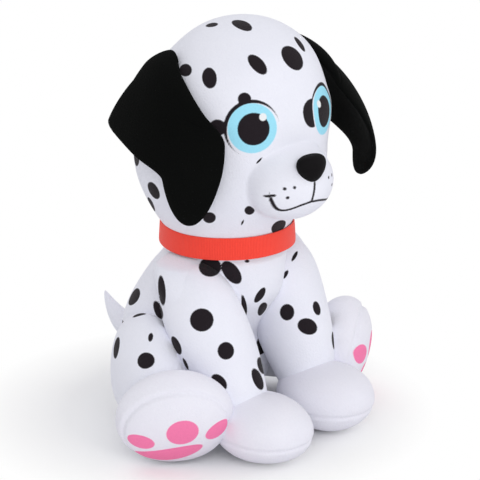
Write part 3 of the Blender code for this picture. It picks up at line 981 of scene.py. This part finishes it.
@dataclass(frozen=True)
class Head:
    """Ball of the head with the muzzle grown out of it, the printed face and the nose."""

    rise: float = 0.0635
    forward: float = 0.005
    turn: float = radians(-12)
    tilt: float = radians(-4)
    low_radius: float = 0.061
    high_radius: float = 0.055
    crown: float = 0.0575
    chin: float = 0.080
    fullness: float = 0.9
    crown_shift: Pair = (0.0030, -0.0055)
    crown_levels: Pair = (0.010, 0.048)
    jaw_shift: Pair = (-0.0020, 0.0024)
    jaw_slim: float = 0.0030
    jaw_levels: Pair = (-0.020, 0.012)
    chin_slim: float = 0.0050
    chin_levels: Pair = (-0.060, -0.026)
    seam: float = 0.0002
    muzzle_middle: Triple = (0.0, -0.047, -0.026)
    muzzle_radii: Triple = (0.026, 0.026, 0.022)
    bridge: float = 0.013
    bridge_levels: Pair = (-0.004, 0.016)
    bridge_round: float = 180.0
    cheek: float = 0.0035
    nose_middle: Triple = (0.0, -0.0700, -0.0145)
    nose_half: float = 0.0076
    nose_low: Pair = (0.0058, 0.0052)
    nose_high: Pair = (0.0113, 0.0070)
    nose_fullness: Pair = (0.85, 0.7)
    nose_grid: Grid = (70, 90)
    grid: Grid = (296, 324)
    face_density: float = 0.45
    eye: EyePrint = EyePrint()
    mouth_out: tuple[float, ...] = (0.0, 0.0051, 0.0093, 0.0137, 0.0173, 0.0204, 0.0220)
    mouth_up: tuple[float, ...] = (-0.0325, -0.0331, -0.0349, -0.0360, -0.0353, -0.0320, -0.0269)
    mouth_degree: int = 4
    mouth_front: float = -0.045
    line: float = 0.0007
    tick: tuple[Pair, Pair] = ((0.0230, -0.0275), (0.0204, -0.0267))
    philtrum: Pair = (-0.0326, -0.0215)
    slant: float = 0.0023
    whiskers: tuple[Pair, ...] = ((0.0162, -0.0230), (0.0117, -0.0227), (0.0152, -0.0281))
    whisker: float = 0.0009
    eye_bare: float = 0.026
    muzzle_bare: float = 0.036
    neck_bare: float = 0.05
    scatter: Scatter = Scatter(count=60, radius=0.0072, apart=0.008, start=0.8)
    marks: tuple[Mark, ...] = (
        Mark("crown_left", (211.7, 24.7), (12.5, 4.5), -8.0),
        Mark("crown_mid", (241.8, 24.5), (21.5, 9.5), 20.0),
        Mark("brow_far", (293.0, 57.5), (28.0, 17.5), 53.0),
        Mark("far_edge", (300.0, 43.8), (18.0, 4.5), 55.0),
        Mark("brow_mid", (257.5, 64.2), (25.0, 12.8), 47.0),
        Mark("temple", (209.3, 77.8), (14.8, 21.3), -8.0),
        Mark("ear_front", (185.3, 70.0), (12.8, 12.8)),
        Mark("under_eye", (259.2, 160.6), (8.6, 1.9), -45.0),
        Mark("nape_edge", (135.5, 158.0), (6.0, 16.0), -5.0),
        Mark("nape", (153.3, 190.8), (9.5, 19.0), -28.0),
        Mark("nape_low", (147.0, 205.0), (4.0, 16.0), -25.0),
        Mark("throat", (209.3, 217.8), (13.0, 11.0)),
        Mark("jaw", (249.5, 210.5), (10.0, 9.0)),
        Mark("chin", (279.0, 227.0), (17.0, 11.0), -40.0),
        Mark("throat_line", (242.5, 222.5), (2.0, 6.0), 25.0),
    )

    def frame(self) -> tuple[Array, Array]:
        """Rotation of the head and its middle, in the part's frame."""
        middle = NECK_AXIS + np.array([0.0, -self.forward, self.rise])
        return turned("Z", self.turn) @ turned("Y", self.tilt), middle

    def world(self, local: Array) -> Array:
        """Points of the head's own frame in the part's frame."""
        rotation, middle = self.frame()
        return local @ rotation.T + middle

    def skin(self) -> Surface:
        """Ball and muzzle as one skin.

        The ball is a stuffed form whose crown leans forward and whose jaw is slimmer and set back. Along
        the ray from the head's middle through each of its points, the skin lies at the rounded larger of
        the ball's distance and the far side of the muzzle's ellipsoid. The root in the latter keeps its
        sign where a ray misses the ellipsoid, and is rounded where it touches.

        Returns:
            The skin in the head's own frame, with its columns closest on the face.
        """
        rows, columns = self.grid
        even = turns(columns)
        turn = (even - math.pi / 2 - self.face_density * np.sin(even))[None, :, None]
        polar = np.linspace(0, math.pi, rows)[:, None, None]
        along = (1 - np.cos(polar)) / 2
        up = -self.chin + (self.crown + self.chin) * along
        jaw = 1 - ramp(up, *self.jaw_levels)
        chin = 1 - ramp(up, *self.chin_levels)
        radius = self.low_radius + (self.high_radius - self.low_radius) * along
        radius = radius - self.jaw_slim * jaw - self.chin_slim * chin
        swell = np.sin(polar).clip(0) ** self.fullness
        ring = np.concatenate([np.cos(turn), np.sin(turn)], -1) * radius * swell
        shift = np.array(self.crown_shift) * ramp(up, *self.crown_levels)
        shift = shift + np.array(self.jaw_shift) * (jaw + chin)
        ball = np.concatenate([ring + shift, np.broadcast_to(up, (*ring.shape[:2], 1))], -1)
        length = np.linalg.norm(ball, axis=-1, keepdims=True)
        ray = ball / length
        middle, radii = np.array(self.muzzle_middle), np.array(self.muzzle_radii)
        first = ((ray / radii) ** 2).sum(-1, keepdims=True)
        second = (ray * middle / radii**2).sum(-1, keepdims=True)
        rest = ((middle / radii) ** 2).sum() - 1
        inside = second**2 - first * rest
        far = (second + inside / (inside**2 + self.bridge_round**2) ** 0.25) / first
        above = ramp(ball[..., 2:] - self.muzzle_middle[2], *self.bridge_levels)
        blend = self.cheek + (self.bridge - self.cheek) * above
        return Surface(ray * soft_max(length, far, blend))

    def eye_fields(self, skin: Surface, side: Side) -> dict[Layer, Array]:
        """Distances of one printed eye.

        Args:
            skin: The head in its own frame.
            side: Which eye.

        Returns:
            Iris, pupil and glint, and as ink the crescent of the lid with the spots that touch it.
        """
        eye = self.eye
        wanted = np.array(eye.middle.of(side))
        nearest = np.linalg.norm(skin.points - wanted, axis=-1).argmin()
        row, column = np.unravel_index(nearest, skin.points.shape[:2])
        axes = tangents(skin.normals()[row, column])
        away = skin.points - wanted
        inward = -side.value * math.copysign(1, axes[0, 0]) * (away @ axes[0])
        climb = away @ axes[1]
        lift = np.abs(away @ axes[2]) - eye.depth

        def circle(values: Triple) -> Array:
            """Signed distance from a circle in the eye's plane."""
            return np.maximum(np.hypot(inward - values[0], climb - values[1]) - values[2], lift)

        ink = np.maximum(circle(eye.lid_outer), -circle(eye.lid_inner))
        ink = np.maximum(ink, lift)
        outside = -circle((0.0, 0.0, eye.iris + eye.rim))
        for bump in eye.bumps.of(side):
            ink = np.minimum(ink, np.maximum(circle(bump), outside))
        return {
            Layer.INK: ink,
            Layer.IRIS: circle((0.0, 0.0, eye.iris)),
            Layer.PUPIL: circle(eye.pupil),
            Layer.GLINT: circle(eye.glint),
        }

    def mouth(self, skin: Surface) -> Array:
        """Distance from the drawn mouth, its lines and the whisker dots.

        Seen from the front, the mouth's height is a smooth curve of the distance from the middle, which is
        set a little to the right. The height off it, over the length of one and the slope, is the distance
        from the line.

        Args:
            skin: The head in its own frame.

        Returns:
            Distances on the skin's grid.
        """
        across, up = skin.points[..., 0], skin.points[..., 2]
        corner, (low, high) = self.mouth_out[-1], self.philtrum
        out = np.abs(across + self.slant * np.clip(1 - np.abs(across) / corner, 0, 1))
        curve = np.polyfit(self.mouth_out, self.mouth_up, self.mouth_degree)
        slope = np.polyval(np.polyder(curve), out.clip(0, corner))
        off = (up - np.polyval(curve, out.clip(0, corner))) / np.sqrt(1 + slope**2)
        found = np.maximum(np.abs(off) - self.line, out - corner)
        upright = np.abs(across + self.slant * (high - up) / (high - low))
        found = np.minimum(found, np.maximum(upright - self.line, np.maximum(low - up, up - high)))
        start, end = np.array(self.tick[0]), np.array(self.tick[1])
        out = np.abs(across)
        flat = np.stack([out, up], -1) - start
        share = np.clip(flat @ (end - start) / ((end - start) ** 2).sum(), 0, 1)[..., None]
        found = np.minimum(found, np.linalg.norm(flat - share * (end - start), axis=-1) - self.line)
        for dot in self.whiskers:
            found = np.minimum(found, np.hypot(out - dot[0], up - dot[1]) - self.whisker)
        return np.where(skin.points[..., 1] < self.mouth_front, found, FAR)

    def nose(self) -> Surface:
        """Padded nose, wide above and narrow below.

        Returns:
            The skin in the head's own frame.
        """
        middle, half = np.array(self.nose_middle), np.array([0, 0, self.nose_half])
        radii = self.nose_low, self.nose_high
        return stuffed(middle - half, middle + half, *radii, self.nose_fullness, self.nose_grid)

    def build(self, wardrobe: Wardrobe) -> None:
        """Make the head with its printed face, and the nose.

        Args:
            wardrobe: Materials that dress the pieces.
        """
        skin = self.skin()
        face = {Layer.INK: self.mouth(skin)}
        for side in Side:
            for layer, values in self.eye_fields(skin, side).items():
                face[layer] = np.minimum(face.get(layer, FAR), values)
        skin.points = self.world(skin.points)
        skin.settle(NECK_AXIS[2] + self.seam)
        eye_left, muzzle = self.world(np.array([self.eye.middle.left, self.muzzle_middle]))
        bare = [(eye_left, self.eye_bare), (muzzle, self.muzzle_bare), (NECK_AXIS, self.neck_bare)]
        printed(skin, self.marks, self.scatter, bare)
        for layer, values in face.items():
            skin.fields[layer.value] = np.minimum(skin.fields.get(layer.value, FAR), values)
        nodes = ("head_skin", "muzzle_skin", "head_filling")
        head = wardrobe.dress(skin, "head_plush", FACE, nodes)
        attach(head, "head")
        nose = self.nose()
        nose.points = self.world(nose.points)
        pad = wardrobe.dress(nose, "nose_plush", NOSE, ("nose_pad",))
        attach(pad, "head")


@dataclass(frozen=True)
class Ear:
    """Flap ear of two layers, sewn to the head along a short seam."""

    head: Head
    side: Side
    thickness: float = 0.0062
    root_radius: float = 0.0617
    sunk: float = 0.0050
    sunk_until: float = 0.2
    elevation: float = radians(46)
    drop: Both[float] = Both(radians(79), radians(84))
    seam_front: float = radians(20)
    seam_rear: float = radians(6)
    seam_front_drop: float = radians(12)
    seam_rear_drop: Both[float] = Both(radians(-3), radians(-11))
    front_spread: Both[float] = Both(radians(41), radians(50))
    front_at: float = 0.42
    front_round: float = 2.4
    rear_spread: float = radians(23)
    rear_at: Both[float] = Both(0.72, 0.56)
    rear_cut: Both[float] = Both(radians(215), radians(270))
    rear_round: float = radians(9)
    tip_half: float = radians(6)
    tip_forward: Both[float] = Both(radians(13), radians(25))
    flare: Both[float] = Both(0.027, 0.015)
    flare_from: Both[float] = Both(0.25, 0.30)
    corner: float = 0.005
    ends: float = 14.0
    bend: float = 0.014
    grid: Grid = (110, 120)
    edge_powers: Pair = (0.9, 0.75)  # how round the edge is, across the flap and through it
    step: float = 1e-3
    inset: float = 0.02

    def own(self, values: Both[float]) -> float:
        """Value for this ear."""
        return values.of(self.side)

    def tapered(self, along: Array) -> Array:
        """Share of the width that is left near the seam and the tip, which are rounded off."""
        return np.clip(1 - np.abs(2 * along - 1) ** self.ends, 0, 1) ** 0.5

    def front_edge(self, along: Array) -> Array:
        """Angle of the front edge, which swings out by a sine and comes in by a power to the tip.

        Args:
            along: Share of the way down.

        Returns:
            Angles from the seam's middle, below zero in front.
        """
        rise = np.sin(math.pi / 2 * np.clip(along / self.front_at, 0, 1))
        fall = np.clip((along - self.front_at) / (1 - self.front_at), 0, 1) ** self.front_round
        tip, spread = -self.own(self.tip_forward) - self.tip_half, self.own(self.front_spread)
        return -self.seam_front + (self.seam_front - spread) * rise + (tip + spread) * fall

    def rear_edge(self, along: Array) -> Array:
        """Angle of the rear edge: a line out to its corner, a steeper one back and the tip's, rounded.

        Args:
            along: Share of the way down.

        Returns:
            Angles from the seam's middle, above zero behind.
        """
        rear_at = self.own(self.rear_at)
        out = self.seam_rear + (self.rear_spread - self.seam_rear) * along / rear_at
        back = self.rear_spread - self.own(self.rear_cut) * (along - rear_at)
        back = soft_max(back, self.tip_half - self.own(self.tip_forward), self.rear_round)
        return -soft_max(-out, -back, self.rear_round)

    def directions(self) -> tuple[Array, Array]:
        """Outward and downward directions at the middle of the seam, in the head's frame.

        Returns:
            Two directions of length one.
        """
        sign, angle = self.side.value, self.elevation
        out = np.array([sign * math.cos(angle), 0, math.sin(angle)])
        return out, np.array([sign * math.sin(angle), 0, -math.cos(angle)])

    def middle_sheet(self, along: Array, across: Array) -> Array:
        """Points midway between the two layers.

        An angle goes down from the seam and another runs from the front edge to the rear edge, both round
        the head's middle. The distance from there grows toward the tip and the rear corner.

        Args:
            along: Share of the way down.
            across: From -1 at the front edge to 1 at the rear edge.

        Returns:
            Points in the head's own frame.
        """
        out, down = self.directions()
        front, rear = self.front_edge(along), self.rear_edge(along)
        ends = self.tapered(along)
        lean = (front + rear) / 2 + (rear - front) / 2 * across * ends
        share = (across * ends + 1) / 2
        seam = self.seam_front_drop + (self.own(self.seam_rear_drop) - self.seam_front_drop) * share
        drop = seam + (self.own(self.drop) - seam) * along
        flare_from = self.own(self.flare_from)
        flare = self.own(self.flare) * np.clip(along - flare_from, 0, 1) / (1 - flare_from)
        corner = self.corner * np.sin(math.pi * along) * np.clip(lean / self.rear_spread, 0, 2) ** 2
        radius = self.root_radius - self.sunk * (1 - ramp(along, 0, self.sunk_until)) + flare + corner
        level = np.cos(drop)[..., None] * out + np.sin(drop)[..., None] * down
        ray = np.cos(lean)[..., None] * level
        ray[..., 1] += np.sin(lean)
        return ray * radius[..., None]

    def skin(self) -> Surface:
        """Both layers as one closed skin round the middle sheet.

        Going round, the cosine says how far across a point lies and the sine to which side of the sheet.

        Returns:
            The skin in the part's frame.
        """
        rows, columns = self.grid
        along = ((1 - np.cos(np.linspace(0, math.pi, rows))) / 2)[:, None]
        along, turn = np.broadcast_arrays(along, turns(columns)[None])
        across = signed_power(np.cos(turn), self.edge_powers[0])
        sheet, step = self.middle_sheet, self.step
        inner, far_in = along.clip(step, 1 - step), along.clip(self.inset, 1 - self.inset)
        ahead = sheet(inner + step, across) - sheet(inner - step, across)
        aside = sheet(far_in, across + step) - sheet(far_in, across - step)
        normal = unit(np.cross(ahead, aside))
        middle = sheet(along, across)
        normal = normal * np.sign((normal * middle).sum(-1, keepdims=True))
        side = signed_power(np.sin(turn), self.edge_powers[1])
        local = middle + normal * (self.thickness / 2 * side * self.tapered(along))[..., None]
        return Surface(self.head.world(local))

    def build(self, wardrobe: Wardrobe) -> None:
        """Make the ear at its seam on the head.

        Args:
            wardrobe: Materials that dress the pieces.
        """
        word = self.side.word
        ear = wardrobe.dress(self.skin(), f"ear_{word}_plush", EAR, (f"ear_{word}",))
        out, down = self.directions()
        hinge = out * self.root_radius
        start = self.head.world(hinge)
        self.head.world(hinge + down * self.bend)
        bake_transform(ear)


@dataclass(frozen=True)
class FrontLeg:
    """Sleeve of a front leg and its paw."""

    side: Side
    below_seam: float = 0.0165
    neck_radius: float = 0.038
    low_radius: float = 0.0195
    high_radius: float = 0.0255
    foot_height: float = 0.014
    reach: Both[float] = Both(0.042, 0.046)
    ankle_out: Both[float] = Both(0.028, 0.032)
    fullness: Pair = (0.5, 0.72)
    paw_width: float = 0.051
    paw_length: float = 0.060
    paw_height: float = 0.0385
    paw_out: float = 0.0095
    paw_fullness: Pair = (0.9, 0.9)
    leg_lump: Pair = (0.0006, 0.045)  # height and length of the filling's waves
    paw_lump: Pair = (0.0005, 0.04)
    sole_seam: float = 0.0155
    seam_depth: float = 0.0007
    seam_width: float = 0.0012
    bend: float = 0.035
    leg_grid: Grid = (130, 130)
    paw_grid: Grid = (120, 140)
    paw_bare: float = 0.024
    scatter: Scatter = Scatter(count=60, radius=0.0062, apart=0.012, start=0.4)
    marks: Both[tuple[Mark, ...]] = Both(
        (
            Mark("leg_left_one", (287.0, 312.3), (14.5, 16.5)),
            Mark("leg_left_two", (307.8, 326.5), (20.5, 16.0), 22.0),
            Mark("leg_left_three", (316.9, 308.2), (7.4, 14.5), -15.0),
            Mark("leg_left_edge", (334.0, 340.0), (3.5, 18.0), -5.0),
            Mark("leg_left_top", (294.8, 256.0), (3.5, 12.0), 30.0),
            Mark("leg_left_high", (285.5, 274.4), (4.0, 10.0), 30.0),
        ),
        SHARED_MARKS
        + (
            Mark("leg_round", (201.7, 320.0), (23.8, 23.2)),
            Mark("leg_mid", (226.0, 350.8), (16.7, 17.7)),
            Mark("leg_low", (219.0, 382.4), (19.5, 12.5), 48.0),
            Mark("leg_inner", (257.6, 379.2), (9.5, 23.0), -22.0, cast=True),
            Mark("leg_inner_high", (261.4, 365.6), (7.5, 17.5), -17.0, cast=True),
            Mark("leg_inner_edge", (267.8, 381.5), (3.2, 8.0), -15.0, cast=True),
            Mark("leg_outer", (176.0, 345.6), (8.0, 20.0), -25.0),
            Mark("leg_outer_low", (185.5, 364.0), (3.5, 13.0), -25.0),
        ),
    )

    def shoulder(self) -> Array:
        """Point at the top of the leg, on its hinge."""
        return NECK_AXIS + np.array([self.side.value * self.neck_radius, 0, -self.below_seam])

    def ankle(self) -> Array:
        """Point at the foot of the leg, inside the paw."""
        out, reach = self.ankle_out.of(self.side), self.reach.of(self.side)
        return np.array([self.side.value * out, NECK_AXIS[1] - reach, self.foot_height])

    def sleeve(self) -> Surface:
        """Leg that is fuller at the shoulder, with uneven filling.

        Returns:
            The skin in the part's frame.
        """
        radii = (self.low_radius, self.low_radius), (self.high_radius, self.high_radius)
        skin = stuffed(self.ankle(), self.shoulder(), *radii, self.fullness, self.leg_grid)
        skin.swell(lumps(skin.points, *self.leg_lump))
        return skin

    def paw(self) -> Surface:
        """Egg of the paw, pressed flat below, with the drawn-in seam of its sole.

        Returns:
            The skin in the part's frame.
        """
        middle = self.ankle() - np.array([0, self.paw_out, 0])
        middle[2] = self.paw_height / 2
        half = np.array([0, self.paw_length / 2, 0])
        radii = (self.paw_width / 2, self.paw_height / 2)
        skin = stuffed(middle + half, middle - half, radii, radii, self.paw_fullness, self.paw_grid)
        dip = groove(skin.points[..., 2] - self.sole_seam, self.seam_depth, self.seam_width)
        skin.swell(lumps(skin.points, *self.paw_lump) - dip)
        skin.settle(0.0)
        return skin

    def build(self, wardrobe: Wardrobe) -> None:
        """Make the leg and its paw.

        Args:
            wardrobe: Materials that dress the pieces.
        """
        word = self.side.word
        body = f"front_leg_{word}"
        skin = self.sleeve()
        printed(skin, self.marks.of(self.side), self.scatter, [(self.ankle(), self.paw_bare)])
        nodes = (f"{body}_skin", f"{body}_filling")
        leg = wardrobe.dress(skin, f"{body}_plush", SPOTTED, nodes)
        start = self.shoulder()
        start + unit(self.ankle() - start) * self.bend
        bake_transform(leg)
        paw_skin = self.paw()
        paw_skin.fields[Layer.PAD.value] = np.full(paw_skin.points.shape[:2], FAR)
        nodes = (f"front_paw_{word}_skin", f"front_paw_{word}_sole")
        paw = wardrobe.dress(paw_skin, f"front_paw_{word}_plush", PAW, nodes)
        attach(paw, body)


@dataclass(frozen=True)
class HindLeg:
    """Thigh of a hind leg and the foot that stands on its edge."""

    side: Side
    body_radius: float = 0.058
    sink: float = 0.017
    rise: float = 0.047
    back: float = 0.018
    thigh: Pair = (0.021, 0.041)
    shin: Pair = (0.019, 0.025)
    fullness: Pair = (0.8, 0.8)
    thigh_lump: Pair = (0.0007, 0.05)  # height and length of the filling's waves
    foot_radii: Triple = (0.033, 0.020, 0.031)
    foot_fullness: Pair = (1.0, 1.0)
    foot_lump: Pair = (0.0005, 0.05)
    foot_out: float = 0.030
    foot_forward: float = 0.065
    yaw: Both[float] = Both(radians(35), radians(40))
    lean: Both[float] = Both(radians(14), radians(25))
    roll: Both[float] = Both(radians(12), 0.0)
    sole_seam: float = -0.0085
    seam_depth: float = 0.0012
    seam_width: float = 0.0012
    hip_out: float = 0.005
    bend: float = 0.030
    thigh_grid: Grid = (120, 140)
    foot_grid: Grid = (130, 160)
    foot_bare: float = 0.034
    scatter: Scatter = Scatter(count=50, radius=0.0066, apart=0.012, start=1.1)
    marks: Both[tuple[Mark, ...]] = Both(
        (),
        (
            Mark("thigh_round", (145.5, 360.5), (17.7, 16.2), -20.0),
            Mark("thigh_edge", (116.0, 347.8), (6.0, 22.0), 8.0),
            Mark("thigh_tuck", (150.6, 337.2), (5.0, 9.0), 10.0),
            Mark("thigh_crease", (139.0, 314.5), (14.0, 3.0), -15.0),
        ),
    )
    pads: tuple[Mark, ...] = (
        Mark("toe_outer", (140.3, 442.3), (28.5, 13.0), 15.0),
        Mark("toe_middle", (182.7, 433.5), (33.0, 23.5), -12.0),
        Mark("toe_inner", (218.0, 430.0), (28.0, 12.0), -40.0),
        Mark("heel", (168.0, 455.5), (70.0, 12.0), -7.0, 0.024),
    )

    def thigh_rear(self) -> Array:
        """Rear end of the thigh, inside the body."""
        return np.array([self.side.value * (self.body_radius - self.sink), self.back, self.rise])

    def foot_frame(self) -> tuple[Array, Array]:
        """Rotation of the foot, whose sole looks along its own -Y, and its middle.

        The middle is as high as the leaning oval reaches down. That is the root of the sum of two squares:
        its tall radius times the lean's cosine, and its thick one times the sine.

        Returns:
            The 3 by 3 matrix, and the middle.
        """
        middle = self.thigh_rear() + np.array([self.side.value * self.foot_out, -self.foot_forward, 0])
        _, thick, tall = self.foot_radii
        lean = self.lean.of(self.side)
        middle[2] = math.hypot(tall * math.cos(lean), thick * math.sin(lean))
        stand = turned("Z", self.side.value * self.yaw.of(self.side)) @ turned("X", lean)
        return stand @ turned("Y", self.roll.of(self.side)), middle

    def thigh_skin(self) -> Surface:
        """Thigh that tapers from the hip down into the foot.

        Returns:
            The skin in the part's frame.
        """
        low, high = self.thigh_rear(), self.foot_frame()[1]
        across = np.cross(np.array([0.0, 0.0, 1.0]), high - low)
        skin = stuffed(low, high, self.thigh, self.shin, self.fullness, self.thigh_grid, side=across)
        skin.swell(lumps(skin.points, *self.thigh_lump))
        skin.settle(0.0)
        return skin

    def foot_skin(self) -> Surface:
        """Thick oval with the drawn-in seam of its sole, pressed flat on the floor.

        Returns:
            The skin in the part's frame.
        """
        wide, thick, tall = self.foot_radii
        half = np.array([0, 0, tall])
        skin = stuffed(-half, half, (wide, thick), (wide, thick), self.foot_fullness, self.foot_grid)
        dip = groove(skin.points[..., 1] - self.sole_seam, self.seam_depth, self.seam_width)
        skin.swell(lumps(skin.points, *self.foot_lump) - dip)
        rotation, middle = self.foot_frame()
        skin.points = skin.points @ rotation.T + middle
        skin.settle(0.0)
        return skin

    def pad_field(self) -> Array:
        """Distances of the printed pads, read on the right foot and mirrored to the left one.

        Returns:
            Distances on the grid of the foot's skin.
        """
        right = self if self.side is Side.RIGHT else HindLeg(Side.RIGHT)
        skin = right.foot_skin()
        found = np.full(skin.points.shape[:2], FAR)
        for pad in self.pads:
            found = np.minimum(found, pad.on(skin, VIEW))
        if self.side is Side.LEFT:
            columns = found.shape[1]
            found = found[:, (columns // 2 - np.arange(columns)) % columns]
        return found

    def build(self, wardrobe: Wardrobe) -> None:
        """Make the thigh and the foot.

        Args:
            wardrobe: Materials that dress the pieces.
        """
        word = self.side.word
        body = f"hind_leg_{word}"
        skin = self.thigh_skin()
        printed(skin, self.marks.of(self.side), self.scatter, [(self.foot_frame()[1], self.foot_bare)])
        nodes = (f"{body}_skin", f"{body}_filling")
        thigh = wardrobe.dress(skin, f"{body}_plush", SPOTTED, nodes)
        start = self.thigh_rear() + np.array([self.side.value * self.hip_out, 0, 0])
        way = unit((self.foot_frame()[1] - start) * np.array([1, 1, 0]))
        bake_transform(thigh)
        foot_skin = self.foot_skin()
        foot_skin.fields[Layer.PAD.value] = self.pad_field()
        nodes = (f"hind_foot_{word}_skin", f"hind_foot_{word}_sole")
        foot = wardrobe.dress(foot_skin, f"hind_foot_{word}_plush", PAW, nodes)
        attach(foot, body)


@dataclass(frozen=True)
class Tail:
    """Short pointed tail that curves up."""

    root: Triple = (0.0, 0.042, 0.033)
    tip: Triple = (0.0, 0.0805, 0.0545)
    root_radius: float = 0.0105
    tip_radius: float = 0.0028
    bow: Triple = (0.0, 0.0048, -0.0048)
    fullness: Pair = (0.5, 0.95)
    hinge_back: float = 0.050
    bend: float = 0.012
    grid: Grid = (60, 60)

    def build(self, wardrobe: Wardrobe) -> None:
        """Make the tail.

        Args:
            wardrobe: Materials that dress the pieces.
        """
        root, tip = np.array(self.root), np.array(self.tip)
        radii = (self.root_radius, self.root_radius), (self.tip_radius, self.tip_radius)
        skin = stuffed(root, tip, *radii, self.fullness, self.grid, bow=self.bow)
        skin.fields[Layer.INK.value] = np.full(self.grid, FAR)
        tail = wardrobe.dress(skin, "tail_plush", SPOTTED, ("tail_skin", "tail_filling"))
        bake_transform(tail)


@dataclass(frozen=True)
class Collar:
    """Ribbon sewn into a ring round the neck."""

    radius: float = 0.0380
    cone: float = 0.0008
    width: float = 0.0127
    thickness: float = 0.0011
    above_seam: float = 0.0024
    edge_powers: Pair = (0.35, 0.6)  # how round the ribbon's edge is, up it and through it
    wave: float = 0.0004
    wave_counts: Pair = (3, 5)
    wave_starts: Pair = (0.7, 2.0)
    wave_second: float = 0.6
    wave_out: float = 0.2
    wave_up: float = 0.5
    grid: Grid = (28, 420)

    def build(self, wardrobe: Wardrobe) -> None:
        """Make the ribbon.

        A flat oval is the profile, carried round a circle whose height and radius waver a little.

        Args:
            wardrobe: Materials that dress the pieces.
        """
        profile, turn = turns(self.grid[0])[:, None], turns(self.grid[1])[None]
        up = signed_power(np.sin(profile), self.edge_powers[0]) * self.width / 2
        out = signed_power(np.cos(profile), self.edge_powers[1]) * self.thickness / 2
        waves = zip(self.wave_counts, self.wave_starts)
        first, second = (np.sin(count * turn + start) for count, start in waves)
        waver = self.wave * (first + self.wave_second * second)
        radius = self.radius + self.thickness / 2 + out + waver * self.wave_out
        radius = radius - self.cone * up / self.width
        height = NECK_AXIS[2] + self.above_seam - self.width / 2 + up + self.wave_up * waver
        points = np.stack([radius * np.cos(turn), NECK_AXIS[1] + radius * np.sin(turn), height], -1)
        skin = Surface(points, ring=True)
        skin.fields[ROUND_FIELD] = np.broadcast_to(turn * self.radius, points.shape[:2])
        band = wardrobe.dress(skin, "collar_band", RIBBON, ("collar_ribbon",))
        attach(band, "collar")


@dataclass(frozen=True)
class Lamp:
    """Square soft lamp that looks at what the camera looks at."""

    name: str
    place: Triple
    size: float
    power: float

    def build(self) -> None:
        """Hang the lamp."""
        light = bpy.data.lights.new(self.name, "AREA")
        light.energy = self.power
        light.size = self.size
        lamp = bpy.data.objects.new(self.name, light)
        lamp.location = self.place
        away = np.array(VIEW.target) - np.array(self.place)
        level = math.hypot(away[0], away[1])
        lamp.rotation_euler = (math.atan2(level, -away[2]), 0, math.atan2(-away[0], away[1]))
        bpy.context.scene.collection.objects.link(lamp)


@dataclass(frozen=True)
class Studio:
    """Pale floor, white surroundings and soft lamps."""

    floor_radius: float = 0.9
    floor_points: int = 96
    floor_below: float = 0.0004
    floor_colour: Triple = (0.93, 0.93, 0.94)
    floor_roughness: float = 0.9
    fade: Pair = (0.080, 0.140)
    surround: float = 0.60
    lamps: tuple[Lamp, ...] = (
        Lamp("key", (-0.8, -1.0, 0.75), 0.9, 7.2),
        Lamp("fill", (0.9, -1.0, 0.8), 1.0, 3.6),
        Lamp("back", (0.2, 1.0, 1.1), 0.9, 4.0),
    )

    def floor_material(self) -> bpy.types.Material:
        """Pale matt floor, which the camera sees fade to plain white.

        With the distance from the middle a white glow takes over, only in what the camera sees.

        Returns:
            The new material.
        """
        sheet = NodeSheet(bpy.data.materials.new("pale_floor"))
        place = sheet.add("TexCoord").outputs["Object"]
        away = sheet.add("VectorMath", {0: place}, operation="LENGTH").outputs["Value"]
        limits = {"From Min": self.fade[0], "From Max": self.fade[1]}
        share = sheet.add("MapRange", {"Value": away, **limits}).outputs[0]
        settings = {
            "Base Color": (*self.floor_colour, 1),
            "Roughness": self.floor_roughness,
            "Specular IOR Level": 0.0,
        }
        sheet.fill(sheet.shader, settings)
        white = sheet.add("Emission", {"Color": (1, 1, 1, 1), "Strength": 1.0}).outputs[0]
        share = sheet.math("MULTIPLY", share, sheet.seen())
        mixed = sheet.add("MixShader", {0: share, 1: sheet.shader.outputs[0], 2: white})
        sheet.put(sheet.tree.nodes["Material Output"].inputs["Surface"], mixed.outputs[0])
        return sheet.owner

    def floor(self) -> None:
        """Disc that keeps the shadow near the puppy: one face on a circle of points."""
        turn = turns(self.floor_points)
        level = np.full(self.floor_points, -self.floor_below)
        points = np.stack([self.floor_radius * np.cos(turn), self.floor_radius * np.sin(turn), level], -1)
        mesh = bpy.data.meshes.new("floor")
        mesh.from_pydata(points.tolist(), [], [list(range(self.floor_points))])
        mesh.materials.append(self.floor_material())
        floor = bpy.data.objects.new("floor", mesh)
        bpy.context.scene.collection.objects.link(floor)

    def world(self) -> None:
        """White surroundings that light the puppy at a plain level."""
        sheet = NodeSheet(bpy.data.worlds.new("surroundings"))
        level = sheet.add("MapRange", {"Value": sheet.seen(), "To Min": self.surround, "To Max": 1.0})
        background = {"Color": (1, 1, 1, 1), "Strength": level.outputs[0]}
        sheet.fill(sheet.tree.nodes["Background"], background)
        bpy.context.scene.world = sheet.owner

    def build(self) -> None:
        """Set up floor, surroundings, lamps and view transform."""
        self.floor()
        self.world()
        for lamp in self.lamps:
            lamp.build()
        bpy.context.scene.view_settings.view_transform = "Standard"


def main() -> None:
    """Build the puppy piece by piece in the photograph's studio."""
    logging.basicConfig(level=logging.INFO, format="%(name)s: %(message)s")
    VIEW.camera()
    Studio().build()
    wardrobe = Wardrobe()
    head = Head()
    Torso().build(wardrobe)
    head.build(wardrobe)
    for side in Side:
        Ear(head, side).build(wardrobe)
        FrontLeg(side).build(wardrobe)
        HindLeg(side).build(wardrobe)
    Tail().build(wardrobe)
    Collar().build(wardrobe)


if __name__ == "__main__":
    main()
